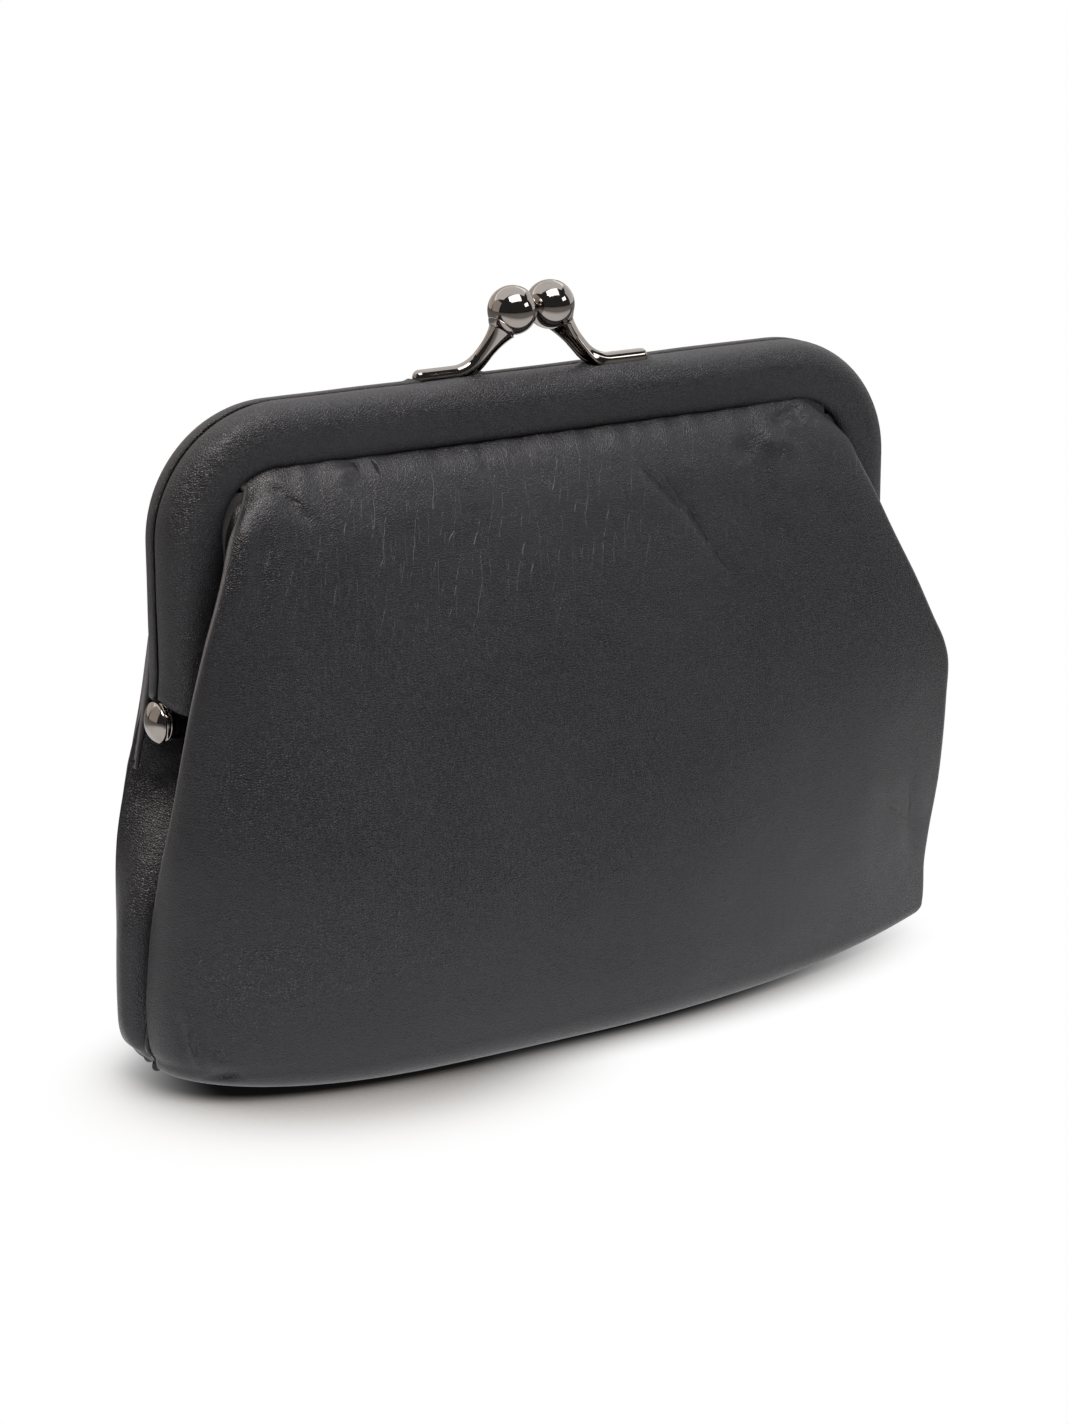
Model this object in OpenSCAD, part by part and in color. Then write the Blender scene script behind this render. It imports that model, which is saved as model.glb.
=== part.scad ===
// Kiss lock frame purse: two leather covered metal arches hinged on rivets, with a soft leather
// pouch glued into them and a pair of ball clasps that snap past each other.
// Origin at the middle of the base, X across the purse, front towards -Y, Z up.

/* [Frame] */
// Overall width of the closed frame
frame_w = 137.4; // [110:0.2:170]
// Height of the frame's top edge above the table
frame_top = 107; // [98:0.5:120]
// Outer radius of the frame's upper corners
corner_r = 21; // [17:0.5:28]
// Gap between the two closed halves
parting_gap = 0.9; // [0.6:0.1:1.6]
// Height of the hinge rivets above the table
hinge_z = 58.3; // [52:0.1:62]

/* [Covers] */
// Width of the leather covered band, seen from the front
cover_band = 9.9; // [9.6:0.1:12]
// Depth of one covered half, from its parting edge to its front
cover_depth = 5.35; // [5.1:0.05:6.5]
// Distance by which the covers stop short of the parting
cover_setback = 0.45; // [0.1:0.05:0.8]
// Distance from the outer edge to the fullest point of the band
cover_crown = 5.0; // [4.4:0.1:5.4]
// Thickness of the covering leather
cover_leather_t = 0.8; // [0.6:0.05:1]
// Thickness of the pressed core under the leather
core_t = 0.5; // [0.3:0.05:0.6]
// Height of the cover's leg ends above the hinge axis
cover_end_up = 4.0; // [3.7:0.1:8]

/* [Rails] */
// Sheet thickness of the channel rails
rail_t = 0.65; // [0.5:0.05:0.7]
// Distance from the outer edge to the channel's open mouth
rail_reach = 7.6; // [7.2:0.1:8]
// Height of the rail's leg ends above the hinge axis
rail_end_up = 4.2; // [3.8:0.1:8]

/* [Hinges] */
// Diameter of the hinge ears
ear_d = 6; // [5:0.1:6.6]
// Thickness of one hinge ear
ear_t = 0.9; // [0.7:0.05:1.1]
// Diameter of the rivet's domed head
rivet_head_d = 6.8; // [6.2:0.1:7.2]
// Height of the rivet's domed head
rivet_head_h = 1.9; // [1.4:0.1:2.4]
// Diameter of the rivet's shank
rivet_d = 2.4; // [1.8:0.1:3]
// Radial clearance between the shank and the ears
pivot_clear = 0.05; // [0.02:0.01:0.1]

/* [Clasp] */
// Diameter of the clasp balls
ball_d = 8; // [6:0.1:9]
// Gap by which the balls miss each other as they pass
ball_gap = 0.06; // [0.02:0.02:0.5]
// How far each closed ball stands past the middle plane
ball_past = 0.75; // [0.5:0.05:1.2]
// Height of the ball centres above the frame's top edge
ball_rise = 9.9; // [9:0.1:14]
// Width of the clasp arm's channel section
arm_w = 2.4; // [2:0.1:2.6]
// Sheet thickness of the clasp arms
arm_t = 0.5; // [0.3:0.05:0.6]
// Height of the arm's foot above the frame's top edge
arm_proud = 1.5; // [1.2:0.1:1.8]
// Angle at which the arms rise, in degrees
arm_rise = 52; // [45:1:58]
// Inner bend radius of the arms, to the channel's centre line
arm_bend = 6; // [4:0.5:7]
// Length of the straight foot
foot_len = 8.8; // [6:0.2:11]

/* [Pouch] */
// Thickness of the pouch leather
leather_t = 1.0; // [0.8:0.05:1]
// Thickness of the lining
lining_t = 0.3; // [0.2:0.05:0.35]
// Diameter of the paper cord that wedges the pouch in the rails
cord_d = 0.95; // [0.8:0.05:0.95]
// How far the pouch's left end stands out past the frame
left_flare = 7.2; // [4:0.2:12]
// How far the pouch's right end, which is fuller, stands out past the frame
right_flare = 8.1; // [4:0.1:12]
// How far the flat base stands out past the frame at each end
base_flare = 4.4; // [1:0.2:8]
// Half depth of the pouch at the middle of its belly
belly = 24.8; // [18:0.2:30]
// Half depth of the pouch at its pinched left end
left_depth = 4.7; // [4.2:0.1:9]
// Greatest half depth of the pouch at its right end
right_depth = 13.6; // [9:0.2:15]
// Radius of the bottom fold at mid width
fold_r = 5; // [3:0.2:7]
// Height by which the base corners lift off the table
corner_lift = 2; // [0:0.1:4]
// Depth of the side folds below the hinge
gusset_fold = 15; // [8:0.5:17]

/* [Hidden] */

// A hair of material or of air, for cuts that must pass right through
eps = 0.01;
// Least air between pieces that lie against each other
seat_gap = 0.05;
half_gap = parting_gap / 2;

// Frame arch
corner_x = frame_w / 2 - corner_r;
corner_z = frame_top - corner_r;
leg_x = frame_w / 2;
rail_end_z = hinge_z + rail_end_up;
cover_end_z = hinge_z + cover_end_up;
left_half_w = leg_x + left_flare;
right_half_w = leg_x + right_flare;
base_half_w = leg_x + base_flare;

// Layers of a covered half, measured inwards from the leather's outer face
cover_back = half_gap + cover_setback;
core_inset = cover_leather_t + seat_gap;
rail_inset = core_inset + core_t + 2 * seat_gap;
// Half depth of the lip under which the pouch leaves the frame
lip_depth = half_gap + cover_depth - 1.8;
// Inner faces of the channel's two walls
slot_back = half_gap + seat_gap + rail_t;
slot_front = half_gap + cover_depth - rail_inset - rail_t;
// Where the pouch's edge ends inside the channel
tuck_reach = rail_inset + rail_t + 2.4;
tuck_depth = slot_front - 2 * seat_gap;

// Hinge stack along X, from the outside in
ear_outer_x = leg_x - rail_inset - 0.05;
front_ear_x = ear_outer_x - ear_t;
back_ear_x = front_ear_x - ear_t - 2 * seat_gap;

// Clasp
ball_x = (ball_d + ball_gap) / 2;
ball_z = frame_top + ball_rise;
arm_y = half_gap + seat_gap + arm_w / 2;
arm_r = arm_w / 2;
arm_line_z = frame_top + arm_proud - arm_r;
arm_skirt = arm_line_z - (frame_top - rail_inset);
arm_climb = ball_z - arm_line_z;
bend_x = ball_x + arm_climb / tan(arm_rise) + arm_bend * tan(arm_rise / 2);
arm_run = arm_climb / sin(arm_rise) - arm_bend * tan(arm_rise / 2);
foot_end_x = bend_x + foot_len;
slot_clear = 0.15;

// Stations of the pouch, from its base to the frame: height, half width and half depth at the
// left side seam, the same at the right side seam, half depth at mid width. Near the frame the
// seams clear the cover's front by both leathers, then tuck in under its lip.
cover_front = half_gap + cover_depth;
ridge_reach = cover_band + 0.6;
ridge_top_z = corner_z + (corner_r - ridge_reach) * sin(45);
ridge_top_x = corner_x + ridge_top_z - corner_z;
over_cover = cover_front + 2 * leather_t;
STATIONS = [
    [fold_r, base_half_w + 1.2, left_depth, base_half_w + 2.8, right_depth - 4.6, belly - 0.4],
    [12, left_half_w, left_depth, right_half_w - 0.6, right_depth - 4.1, belly],
    [25, left_half_w - 0.9, left_depth + 0.1, right_half_w - 0.4, right_depth - 2.3, belly - 0.6],
    [hinge_z - 5, left_half_w - 6.2, left_depth + 3.1, right_half_w - 1.1, right_depth, belly - 5.8],
    [hinge_z + 16, leg_x - 4.1, over_cover + 2.1, leg_x - 3.1, over_cover + 4.1, belly - 10.7],
    [corner_z + 3, leg_x - cover_band, over_cover + 0.3, leg_x - cover_band + 0.2, over_cover + 0.4,
        cover_front + 4.1],
    [ridge_top_z, ridge_top_x, lip_depth + 0.2, ridge_top_x, lip_depth + 0.2, cover_front + 1.6]
];
last_station = len(STATIONS) - 1;

// Smooth curve through the stations, by the height z, for column c of the table
function station_of(z, i = 0) =
    i >= last_station - 1 || z < STATIONS[i + 1][0] ? i : station_of(z, i + 1);
function slope_at(i, c) =
    i == 0 ? (STATIONS[1][c] - STATIONS[0][c]) / (STATIONS[1][0] - STATIONS[0][0])
    : i == last_station
    ? (STATIONS[i][c] - STATIONS[i - 1][c]) / (STATIONS[i][0] - STATIONS[i - 1][0])
    : (STATIONS[i + 1][c] - STATIONS[i - 1][c]) / (STATIONS[i + 1][0] - STATIONS[i - 1][0]);
function hermite(t, a, b, ma, mb) =
    a * (1 + 2 * t) * (1 - t) * (1 - t) + ma * t * (1 - t) * (1 - t)
    + b * t * t * (3 - 2 * t) + mb * t * t * (t - 1);
function profile(z, c) =
    let (i = station_of(z), h = STATIONS[i + 1][0] - STATIONS[i][0], t = (z - STATIONS[i][0]) / h)
    hermite(t, STATIONS[i][c], STATIONS[i + 1][c], h * slope_at(i, c), h * slope_at(i + 1, c));
function side_x(end, z) = profile(z, end < 0 ? 1 : 3);
function side_y(end, z) = profile(z, end < 0 ? 2 : 4);
function middle_y(z) = profile(z, 5);

// Half depth of the panel at height z and share s of its half width, from -1 to 1. The left end
// stays deep until close to its seam, the right end falls away evenly.
LEFT_ROUND = [3.1, 1.8];
RIGHT_ROUND = [1.9, 1.05];
function panel_y(s, z) =
    let (round = s < 0 ? LEFT_ROUND : RIGHT_ROUND, edge = side_y(s, z))
    edge + (middle_y(z) - edge) * pow(max(1 - pow(abs(s), round[0]), 0), 1 / round[1]);

// Inner line of the frame's arch, a reach in from its outer edge, for a share s of the width
function arch_x(s, reach) = s * (corner_x + (corner_r - reach) * sin(45));
function arch_z(x, reach) =
    let (past = max(abs(x) - corner_x, 0), r = corner_r - reach)
    corner_z + sqrt(max(r * r - past * past, 0));
function leg_in_x(z, reach) =
    z < corner_z ? leg_x - reach
    : corner_x + sqrt(max(pow(corner_r - reach, 2) - pow(z - corner_z, 2), 0));

// One point of the front panel: a share s across, row r up, and how far in from its outer face
PANEL_STEPS = 24;
FLAT_ROWS = 3;
FOLD_ROWS = 4;
RISE_ROWS = 13;
TUCKS = [cover_band + 0.3, rail_reach, tuck_reach];
TUCK_ROWS = len(TUCKS);
PANEL_ROWS = FLAT_ROWS + FOLD_ROWS + RISE_ROWS + TUCK_ROWS;
function lift_at(s) = corner_lift * pow(max(abs(s) - 0.5, 0) / 0.5, 2);
function fold_at(s) = fold_r * (1 - 0.45 * s * s);
function panel_point(s, r, inset) =
    let (lift = lift_at(s), f = fold_at(s), foot_y = panel_y(s, fold_r) - f)
    r < FLAT_ROWS
    ? [s * base_half_w, -foot_y * r / FLAT_ROWS, lift + inset]
    : r < FLAT_ROWS + FOLD_ROWS
    ? let (a = 90 * (r - FLAT_ROWS) / FOLD_ROWS)
      [s * mix(base_half_w, side_x(s, fold_r), sin(a)), -foot_y - (f - inset) * sin(a),
          lift + f - (f - inset) * cos(a)]
    : r < PANEL_ROWS - TUCK_ROWS
    ? let (t = (r - FLAT_ROWS - FOLD_ROWS) / (RISE_ROWS - 1),
           low = lift + f, z = low + (ridge_top_z - low) * t, zz = fold_r + (ridge_top_z - fold_r) * t)
      [s * side_x(s, zz), -panel_y(s, zz) + inset, z]
    : let (reach = TUCKS[r - PANEL_ROWS + TUCK_ROWS], x = arch_x(s, reach))
      [x, -tuck_depth + inset, arch_z(x, reach)];

// Side gusset: for each height, a path from the side seam to the fold or into the frame's leg
GUSSET_ROWS = 20;
fold_top_z = hinge_z - 7;
grip_z = hinge_z + 1;
gusset_foot_z = corner_lift + leather_t + seat_gap;
side_fold = fold_at(1);
side_foot_z = corner_lift + side_fold;
seam_gap = 0.2;
function ramp(z, a, b) = let (t = min(max((z - a) / (b - a), 0), 1)) t * t * (3 - 2 * t);
function gusset_z(r) = gusset_foot_z + (corner_z - 1 - gusset_foot_z) * r / GUSSET_ROWS;
function side_station(z) =
    fold_r + (ridge_top_z - fold_r) * max(z - side_foot_z, 0) / (ridge_top_z - side_foot_z);
function seam_x(end, z) =
    z > side_foot_z ? side_x(end, side_station(z))
    : mix(base_half_w, side_x(end, fold_r), sqrt(max(1 - pow((side_foot_z - z) / side_fold, 2), 0)));
function seam_y(end, z) =
    z > side_foot_z ? side_y(end, side_station(z)) - leather_t - seam_gap
    : side_y(end, fold_r) - side_fold - seam_gap
      + sqrt(max(pow(side_fold - leather_t, 2) - pow(side_foot_z - z, 2), 0));
function fold_x(end, z) =
    seam_x(end, z) - 0.3 - gusset_fold * pow(ramp(z, gusset_foot_z, fold_top_z + 4), 0.7);
function mix(a, b, k) = a + (b - a) * k;
function gusset_path(end, z, start) =
    let (sx = seam_x(end, z), sy = seam_y(end, z), fx = fold_x(end, z),
         k = ramp(z, fold_top_z, grip_z),
         lip_x = leg_in_x(z, cover_band + 0.4), grip_x = leg_in_x(z, rail_reach - 1.4),
         knee = [mix(mix(sx, fx, 0.5), lip_x, k), -max(sy * mix(0.5, 0.8, k), tuck_depth * k + 0.4)])
    [mix([sx, -sy], knee, mix(start, min(2 * start, 0.97), k)),
     knee,
     [mix(fx, lip_x, k), -mix(min(0.9, sy * 0.2), tuck_depth, k)],
     [mix(fx, grip_x, k), -tuck_depth * k]];

// The same path moved into the pouch by a distance, with its two ends kept level
function unit(v) = v / norm(v);
function inward(a, b) = let (u = unit(b - a)) [-u[1], u[0]];
function end_shift(a, b, d) = [-min(d / max(abs(unit(b - a)[1]), 0.05), 2.4 * d), 0];
function moved_in(path, d, k, square) =
    let (n = len(path) - 1, last = inward(path[n - 1], path[n]))
    [for (i = [0 : n])
        i == 0
        ? path[0] + (square ? d * inward(path[0], path[1]) : end_shift(path[0], path[1], d))
        : i == n ? path[n] + mix(1, 0, k) * [-d, 0] + k * d * last
        : let (p = inward(path[i - 1], path[i]), q = inward(path[i], path[i + 1]))
          path[i] + d * (p + q) / (1 + p * q)];
function gusset_row(end, r, d, start) =
    let (z = gusset_z(r), k = ramp(z, fold_top_z, grip_z))
    [for (p = moved_in(gusset_path(end, z, start), d, k, start > 0)) [p[0], p[1], z]];

// Thin closed sheet between two grids of points with the same rows and columns
module sheet(outer, inner) {
    rows = len(outer);
    cols = len(outer[0]);
    count = rows * cols;
    points = concat([for (row = outer) each row], [for (row = inner) each row]);
    function at(r, c) = r * cols + c;
    skin = [for (r = [0 : rows - 2], c = [0 : cols - 2]) each [
        [at(r, c), at(r + 1, c + 1), at(r, c + 1)],
        [at(r, c), at(r + 1, c), at(r + 1, c + 1)],
        [count + at(r, c), count + at(r, c + 1), count + at(r + 1, c + 1)],
        [count + at(r, c), count + at(r + 1, c + 1), count + at(r + 1, c)]
    ]];
    sides = [for (r = [0 : rows - 2]) each [
        [at(r, 0), count + at(r + 1, 0), at(r + 1, 0)],
        [at(r, 0), count + at(r, 0), count + at(r + 1, 0)],
        [at(r, cols - 1), at(r + 1, cols - 1), count + at(r + 1, cols - 1)],
        [at(r, cols - 1), count + at(r + 1, cols - 1), count + at(r, cols - 1)]
    ]];
    ends = [for (c = [0 : cols - 2]) each [
        [at(0, c), at(0, c + 1), count + at(0, c + 1)],
        [at(0, c), count + at(0, c + 1), count + at(0, c)],
        [at(rows - 1, c), count + at(rows - 1, c + 1), at(rows - 1, c + 1)],
        [at(rows - 1, c), count + at(rows - 1, c), count + at(rows - 1, c + 1)]
    ]];
    polyhedron(points, concat(skin, sides, ends));
}

// Turns a piece of the front half into the same piece of the back half
module half_turn() {
    rotate([0, 0, 180]) children();
}

module both_sides() {
    children();
    mirror([1, 0, 0]) children();
}

// Layers of a covered half. A profile has x inwards from the frame's outer edge and y = -depth.
ROUND_STEPS = 12;
function super(a, power) = pow(max(a, 0), 2 / power);
function crown(inset) = [for (i = [0 : ROUND_STEPS]) let (a = 90 * i / ROUND_STEPS)
    [cover_crown - (cover_crown - inset) * super(cos(a), 2.4),
     -cover_back - (half_gap + cover_depth - cover_back - inset) * super(sin(a), 2.4)]];
function crown_depth(reach, inset) =
    let (a = acos(pow((cover_crown - reach) / (cover_crown - inset), 1.2)))
    cover_back + (half_gap + cover_depth - cover_back - inset) * super(sin(a), 2.4);
function heel(inset) = [for (i = [1 : ROUND_STEPS]) let (a = 90 * i / ROUND_STEPS)
    [cover_crown + (cover_band - cover_crown - inset) * super(sin(a), 2.6),
     -lip_depth - (half_gap + cover_depth - lip_depth - inset) * super(cos(a), 2.6)]];
function reversed(list) = [for (i = [len(list) - 1 : -1 : 0]) list[i]];

module cover_layer(inset, t) {
    polygon(concat(crown(inset), heel(inset), reversed(concat(crown(inset + t), heel(inset + t)))));
}

// The channel: a wall at the parting, a crowned top and a front wall, open towards the pouch
module rail_profile() {
    back = half_gap + seat_gap;
    front = half_gap + cover_depth - rail_inset;
    difference() {
        polygon(concat(
            [[rail_inset, -back]], crown(rail_inset),
            [[rail_reach, -front], [rail_reach, -back]]));
        polygon(concat(
            [for (p = crown(rail_inset + rail_t)) if (-p[1] > back + rail_t) p],
            [[rail_reach + 1, -front + rail_t], [rail_reach + 1, -back - rail_t],
             [rail_inset + rail_t + 0.1, -back - rail_t]]));
    }
}

// Sweeps a front half profile along the top, the two corners and the two legs
module arch(end_z) {
    translate([0, 0, frame_top])
        rotate([0, 90, 0])
            linear_extrude(height = 2 * corner_x, center = true) children();
    both_sides() {
        translate([corner_x, 0, corner_z])
            rotate([-90, -90, 0])
                rotate_extrude(angle = 90)
                    translate([corner_r, 0]) mirror([1, 0]) children();
        translate([leg_x, 0, corner_z])
            rotate([0, 180, 0]) linear_extrude(height = corner_z - end_z) children();
    }
}

// Cut through the top of a cover where the clasp arm's foot comes out
module foot_slot() {
    w = arm_w + 2 * slot_clear;
    front = bend_x - arm_bend - 1;
    translate([front, -arm_y - w / 2, frame_top - cover_crown])
        cube([foot_end_x - front, w, 2 * cover_crown]);
    translate([foot_end_x, -arm_y, frame_top - cover_crown])
        cylinder(d = w, h = 2 * cover_crown, $fn = 48);
}

// Sloping cut that ends a cover's legs just above the hinge, higher on the outside
cover_end_slope = 12;
module leg_trim() {
    both_sides()
        translate([leg_x + 1, 0, cover_end_z])
            rotate([0, -cover_end_slope, 0])
                translate([-2 * corner_r, -frame_w / 4, -corner_r])
                    cube([3 * corner_r, frame_w / 2, corner_r]);
}

module cover(inset, t) {
    difference() {
        arch(hinge_z) cover_layer(inset, t);
        leg_trim();
        foot_slot();
    }
}

// Ear at the end of a rail's leg: a ring round the rivet and a neck up to the channel
ear_r = ear_d / 2;
neck_h = 1.2;
module ear(x) {
    back = half_gap + seat_gap;
    front = half_gap + cover_depth - rail_inset;
    neck_z = rail_end_z - hinge_z + neck_h;
    shoulder = crown_depth(rail_inset + 0.1, rail_inset);
    translate([x, 0, hinge_z])
        rotate([90, 0, 90])
            linear_extrude(height = ear_t)
                difference() {
                    union() {
                        circle(r = ear_r, $fn = 64);
                        polygon([[-ear_r, 0], [0, 0], [ear_r * cos(35), ear_r * sin(35)],
                                 [-back, neck_z - neck_h], [-back, neck_z],
                                 [-shoulder, neck_z], [-shoulder, neck_z - neck_h],
                                 [-ear_r, 2]]);
                    }
                    circle(r = rivet_d / 2 + pivot_clear, $fn = 64);
                }
    // Joggle from the channel's outer wall in to the ear
    translate([0, 0, rail_end_z])
        linear_extrude(height = neck_h)
            intersection() {
                translate([x, -frame_w / 2]) square([frame_w / 2, frame_w / 2 - back]);
                translate([leg_x, 0]) mirror([1, 0]) polygon(concat(
                    crown(rail_inset + rail_t / 2),
                    [[rail_reach, -front + rail_t / 2], [rail_reach, -half_gap],
                     [rail_inset + rail_t / 2, -half_gap]]));
            }
}

module rail(ear_x) {
    color("dimgray") {
        arch(rail_end_z) rail_profile();
        both_sides() ear(ear_x);
    }
}

module front_rail() rail(front_ear_x);
module back_rail() half_turn() rail(back_ear_x);

module front_cover_core() color("silver") cover(core_inset, core_t);
module back_cover_core() half_turn() front_cover_core();

module front_cover_leather() color([0.12, 0.12, 0.13]) cover(0, cover_leather_t);
module back_cover_leather() half_turn() front_cover_leather();

// Paper cord pressed in beside the pouch's edge
module front_channel_cord() {
    color("tan")
        arch(rail_end_z + 0.5)
            translate([rail_reach - cord_d - 0.6, -slot_back - cord_d / 2 - seat_gap / 2])
                circle(d = cord_d, $fn = 12);
}
module back_channel_cord() half_turn() front_channel_cord();

// Clasp arm: a folded channel that lies on the rail, bends upwards and flares round the ball
CROWN_STEPS = 10;
DOME_STEPS = 4;
BEND_STEPS = 8;
RUN_STEPS = 6;
ARM_STATIONS = DOME_STEPS + BEND_STEPS + RUN_STEPS;
cup_r = 2.3;
cup_reach = sqrt(pow(ball_d / 2 + 2 * eps, 2) - pow(cup_r - arm_t, 2));
climb_skirt = 1.2;
arm_lean = (arm_y + ball_past) / (arm_climb - cup_reach * sin(arm_rise));

// Place of station i along the arm for a wall inset: [x, height, heading, radius, skirt]
function arm_station(i, inset) =
    i < DOME_STEPS
    ? let (b = 82 * (1 - i / DOME_STEPS))
      [foot_end_x + (arm_r - inset) * sin(b), 0, 0, (arm_r - inset) * cos(b), arm_skirt]
    : i <= DOME_STEPS + BEND_STEPS
    ? let (k = (i - DOME_STEPS) / BEND_STEPS, a = arm_rise * k)
      [bend_x - arm_bend * sin(a), arm_bend * (1 - cos(a)), a, arm_r - inset,
       mix(arm_skirt, climb_skirt, k)]
    : let (k = (i - DOME_STEPS - BEND_STEPS) / RUN_STEPS, run = (arm_run - cup_reach) * k)
      [bend_x - arm_bend * sin(arm_rise) - run * cos(arm_rise),
       arm_bend * (1 - cos(arm_rise)) + run * sin(arm_rise), arm_rise,
       mix(arm_r, cup_r, pow(k, 2.4)) - inset, climb_skirt];

// The channel's outline there, from one skirt over the crown to the other
function arm_row(i, inset) =
    let (s = arm_station(i, inset), r = s[3], skirt = s[4])
    [for (j = [-1 : CROWN_STEPS + 1])
        let (a = 180 * min(max(j, 0), CROWN_STEPS) / CROWN_STEPS,
             w = r * cos(a), up = j < 0 || j > CROWN_STEPS ? -skirt : r * sin(a))
        [s[0] + up * sin(s[2]), w + s[1] * arm_lean, s[1] + up * cos(s[2])]];

module front_clasp_arm() {
    color([0.35, 0.33, 0.32])
        translate([0, -arm_y, arm_line_z])
            sheet([for (i = [0 : ARM_STATIONS]) arm_row(i, arm_t)],
                [for (i = [0 : ARM_STATIONS]) arm_row(i, 0)]);
}
module back_clasp_arm() half_turn() front_clasp_arm();

module front_clasp_ball() {
    color([0.4, 0.38, 0.37]) translate([ball_x, ball_past, ball_z]) sphere(d = ball_d, $fn = 96);
}
module back_clasp_ball() half_turn() front_clasp_ball();

// Domed rivet through both ears, its tail spread inside
rim_h = 0.5;
tail_h = 0.7;
tail_d = 4;
module rivet() {
    dome_h = rivet_head_h - rim_h;
    dome_r = (pow(rivet_head_d / 2, 2) + dome_h * dome_h) / (2 * dome_h);
    head_x = ear_outer_x + seat_gap;
    tail_x = back_ear_x - seat_gap - tail_h;
    color([0.5, 0.48, 0.46])
        translate([0, 0, hinge_z])
            rotate([0, 90, 0]) {
                translate([0, 0, tail_x]) cylinder(d = rivet_d, h = head_x - tail_x + eps, $fn = 64);
                translate([0, 0, tail_x]) cylinder(d = tail_d, h = tail_h, $fn = 64);
                intersection() {
                    translate([0, 0, head_x]) cylinder(d = rivet_head_d, h = rivet_head_h, $fn = 96);
                    translate([0, 0, head_x + rivet_head_h - dome_r]) sphere(r = dome_r, $fn = 96);
                }
            }
}
module right_rivet() rivet();
module left_rivet() mirror([1, 0, 0]) rivet();

// Pouch panels and linings: grids of points between the side seams, closer together near them
module panel_sheet(inset, t, reach, steps) {
    function share(i) = let (u = 2 * i / steps - 1) sign(u) * (1 - pow(1 - abs(u), 1.5)) * reach;
    function grid(d) = [for (r = [0 : PANEL_ROWS - 1]) [for (i = [0 : steps])
        panel_point(share(i), r, d)]];
    sheet(grid(inset), grid(inset + t));
}

lining_inset = leather_t + 0.15;
// Share of the half width the linings reach; the two leathers close up past it
lining_reach = 0.92;
lining_start = 0.85;
LINING_STEPS = 16;
module front_panel() color([0.13, 0.13, 0.14]) panel_sheet(0, leather_t, 1, PANEL_STEPS);
module back_panel() mirror([0, 1, 0]) front_panel();
module front_lining() color([0.25, 0.25, 0.26])
    panel_sheet(lining_inset, lining_t, lining_reach, LINING_STEPS);
module back_lining() mirror([0, 1, 0]) front_lining();

// Side gussets: two mirrored halves that meet at the fold and part above the hinge
module gusset_sheet(end, inset, t, start) {
    mirror([end < 0 ? 1 : 0, 0, 0])
        for (turn = [0, 1])
            mirror([0, turn, 0])
                sheet([for (r = [0 : GUSSET_ROWS]) gusset_row(end, r, inset, start)],
                    [for (r = [0 : GUSSET_ROWS]) gusset_row(end, r, inset + t, start)]);
}
module gusset(end) color([0.13, 0.13, 0.14]) gusset_sheet(end, 0, leather_t, 0);
module gusset_lining(end) color([0.25, 0.25, 0.26])
    gusset_sheet(end, lining_inset, lining_t, lining_start);
module left_gusset() gusset(-1);
module right_gusset() gusset(1);
module left_gusset_lining() gusset_lining(-1);
module right_gusset_lining() gusset_lining(1);

front_rail();
back_rail();
front_cover_core();
back_cover_core();
front_cover_leather();
back_cover_leather();
front_channel_cord();
back_channel_cord();
front_clasp_arm();
back_clasp_arm();
front_clasp_ball();
back_clasp_ball();
left_rivet();
right_rivet();
front_panel();
back_panel();
left_gusset();
right_gusset();
front_lining();
back_lining();
left_gusset_lining();
right_gusset_lining();
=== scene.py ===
"""Kiss lock frame purse: the leather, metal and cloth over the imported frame, with its studio."""

import logging
import math
from dataclasses import dataclass, field
from enum import Enum
from typing import Any, Callable, Iterable, Sequence

import bmesh
import bpy
from mathutils import Matrix, Vector, noise


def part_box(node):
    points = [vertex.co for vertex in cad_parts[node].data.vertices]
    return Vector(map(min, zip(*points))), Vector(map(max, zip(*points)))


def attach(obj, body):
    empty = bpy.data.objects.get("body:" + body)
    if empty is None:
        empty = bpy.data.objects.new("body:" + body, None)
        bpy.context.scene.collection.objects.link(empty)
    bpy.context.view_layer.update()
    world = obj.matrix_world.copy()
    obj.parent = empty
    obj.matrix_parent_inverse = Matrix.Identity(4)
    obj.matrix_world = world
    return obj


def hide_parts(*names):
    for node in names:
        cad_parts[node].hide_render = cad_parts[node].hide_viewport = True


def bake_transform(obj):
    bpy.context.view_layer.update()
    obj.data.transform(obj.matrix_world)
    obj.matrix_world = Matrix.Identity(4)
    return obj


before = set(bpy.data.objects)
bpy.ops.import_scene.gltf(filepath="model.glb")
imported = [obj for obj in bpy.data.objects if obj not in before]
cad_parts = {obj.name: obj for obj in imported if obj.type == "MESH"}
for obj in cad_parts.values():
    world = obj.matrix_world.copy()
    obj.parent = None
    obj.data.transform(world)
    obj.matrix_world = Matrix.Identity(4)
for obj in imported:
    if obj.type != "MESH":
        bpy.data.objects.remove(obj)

LOG = logging.getLogger("purse")
MM = 0.001


class Half(Enum):
    """The two halves of the purse; the value is the sign of Y on that half."""

    FRONT = -1
    BACK = 1

    @property
    def body(self) -> str:
        """Name of the frame body that carries this half."""
        return "front_frame" if self is Half.FRONT else "back_frame"

    @property
    def word(self) -> str:
        """Word that starts this half's piece names."""
        return self.name.lower()


class Side(Enum):
    """The two ends of the purse; the value is the sign of X there."""

    LEFT = -1
    RIGHT = 1

    @property
    def word(self) -> str:
        """Word that starts this side's piece names."""
        return self.name.lower()


def ramp(value: float, low: float, high: float) -> float:
    """Smooth step from 0 at low to 1 at high."""
    t = min(max((value - low) / (high - low), 0.0), 1.0)
    return t * t * (3 - 2 * t)


def mix(a: float, b: float, t: float) -> float:
    """Straight blend from a to b."""
    return a + (b - a) * t


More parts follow.
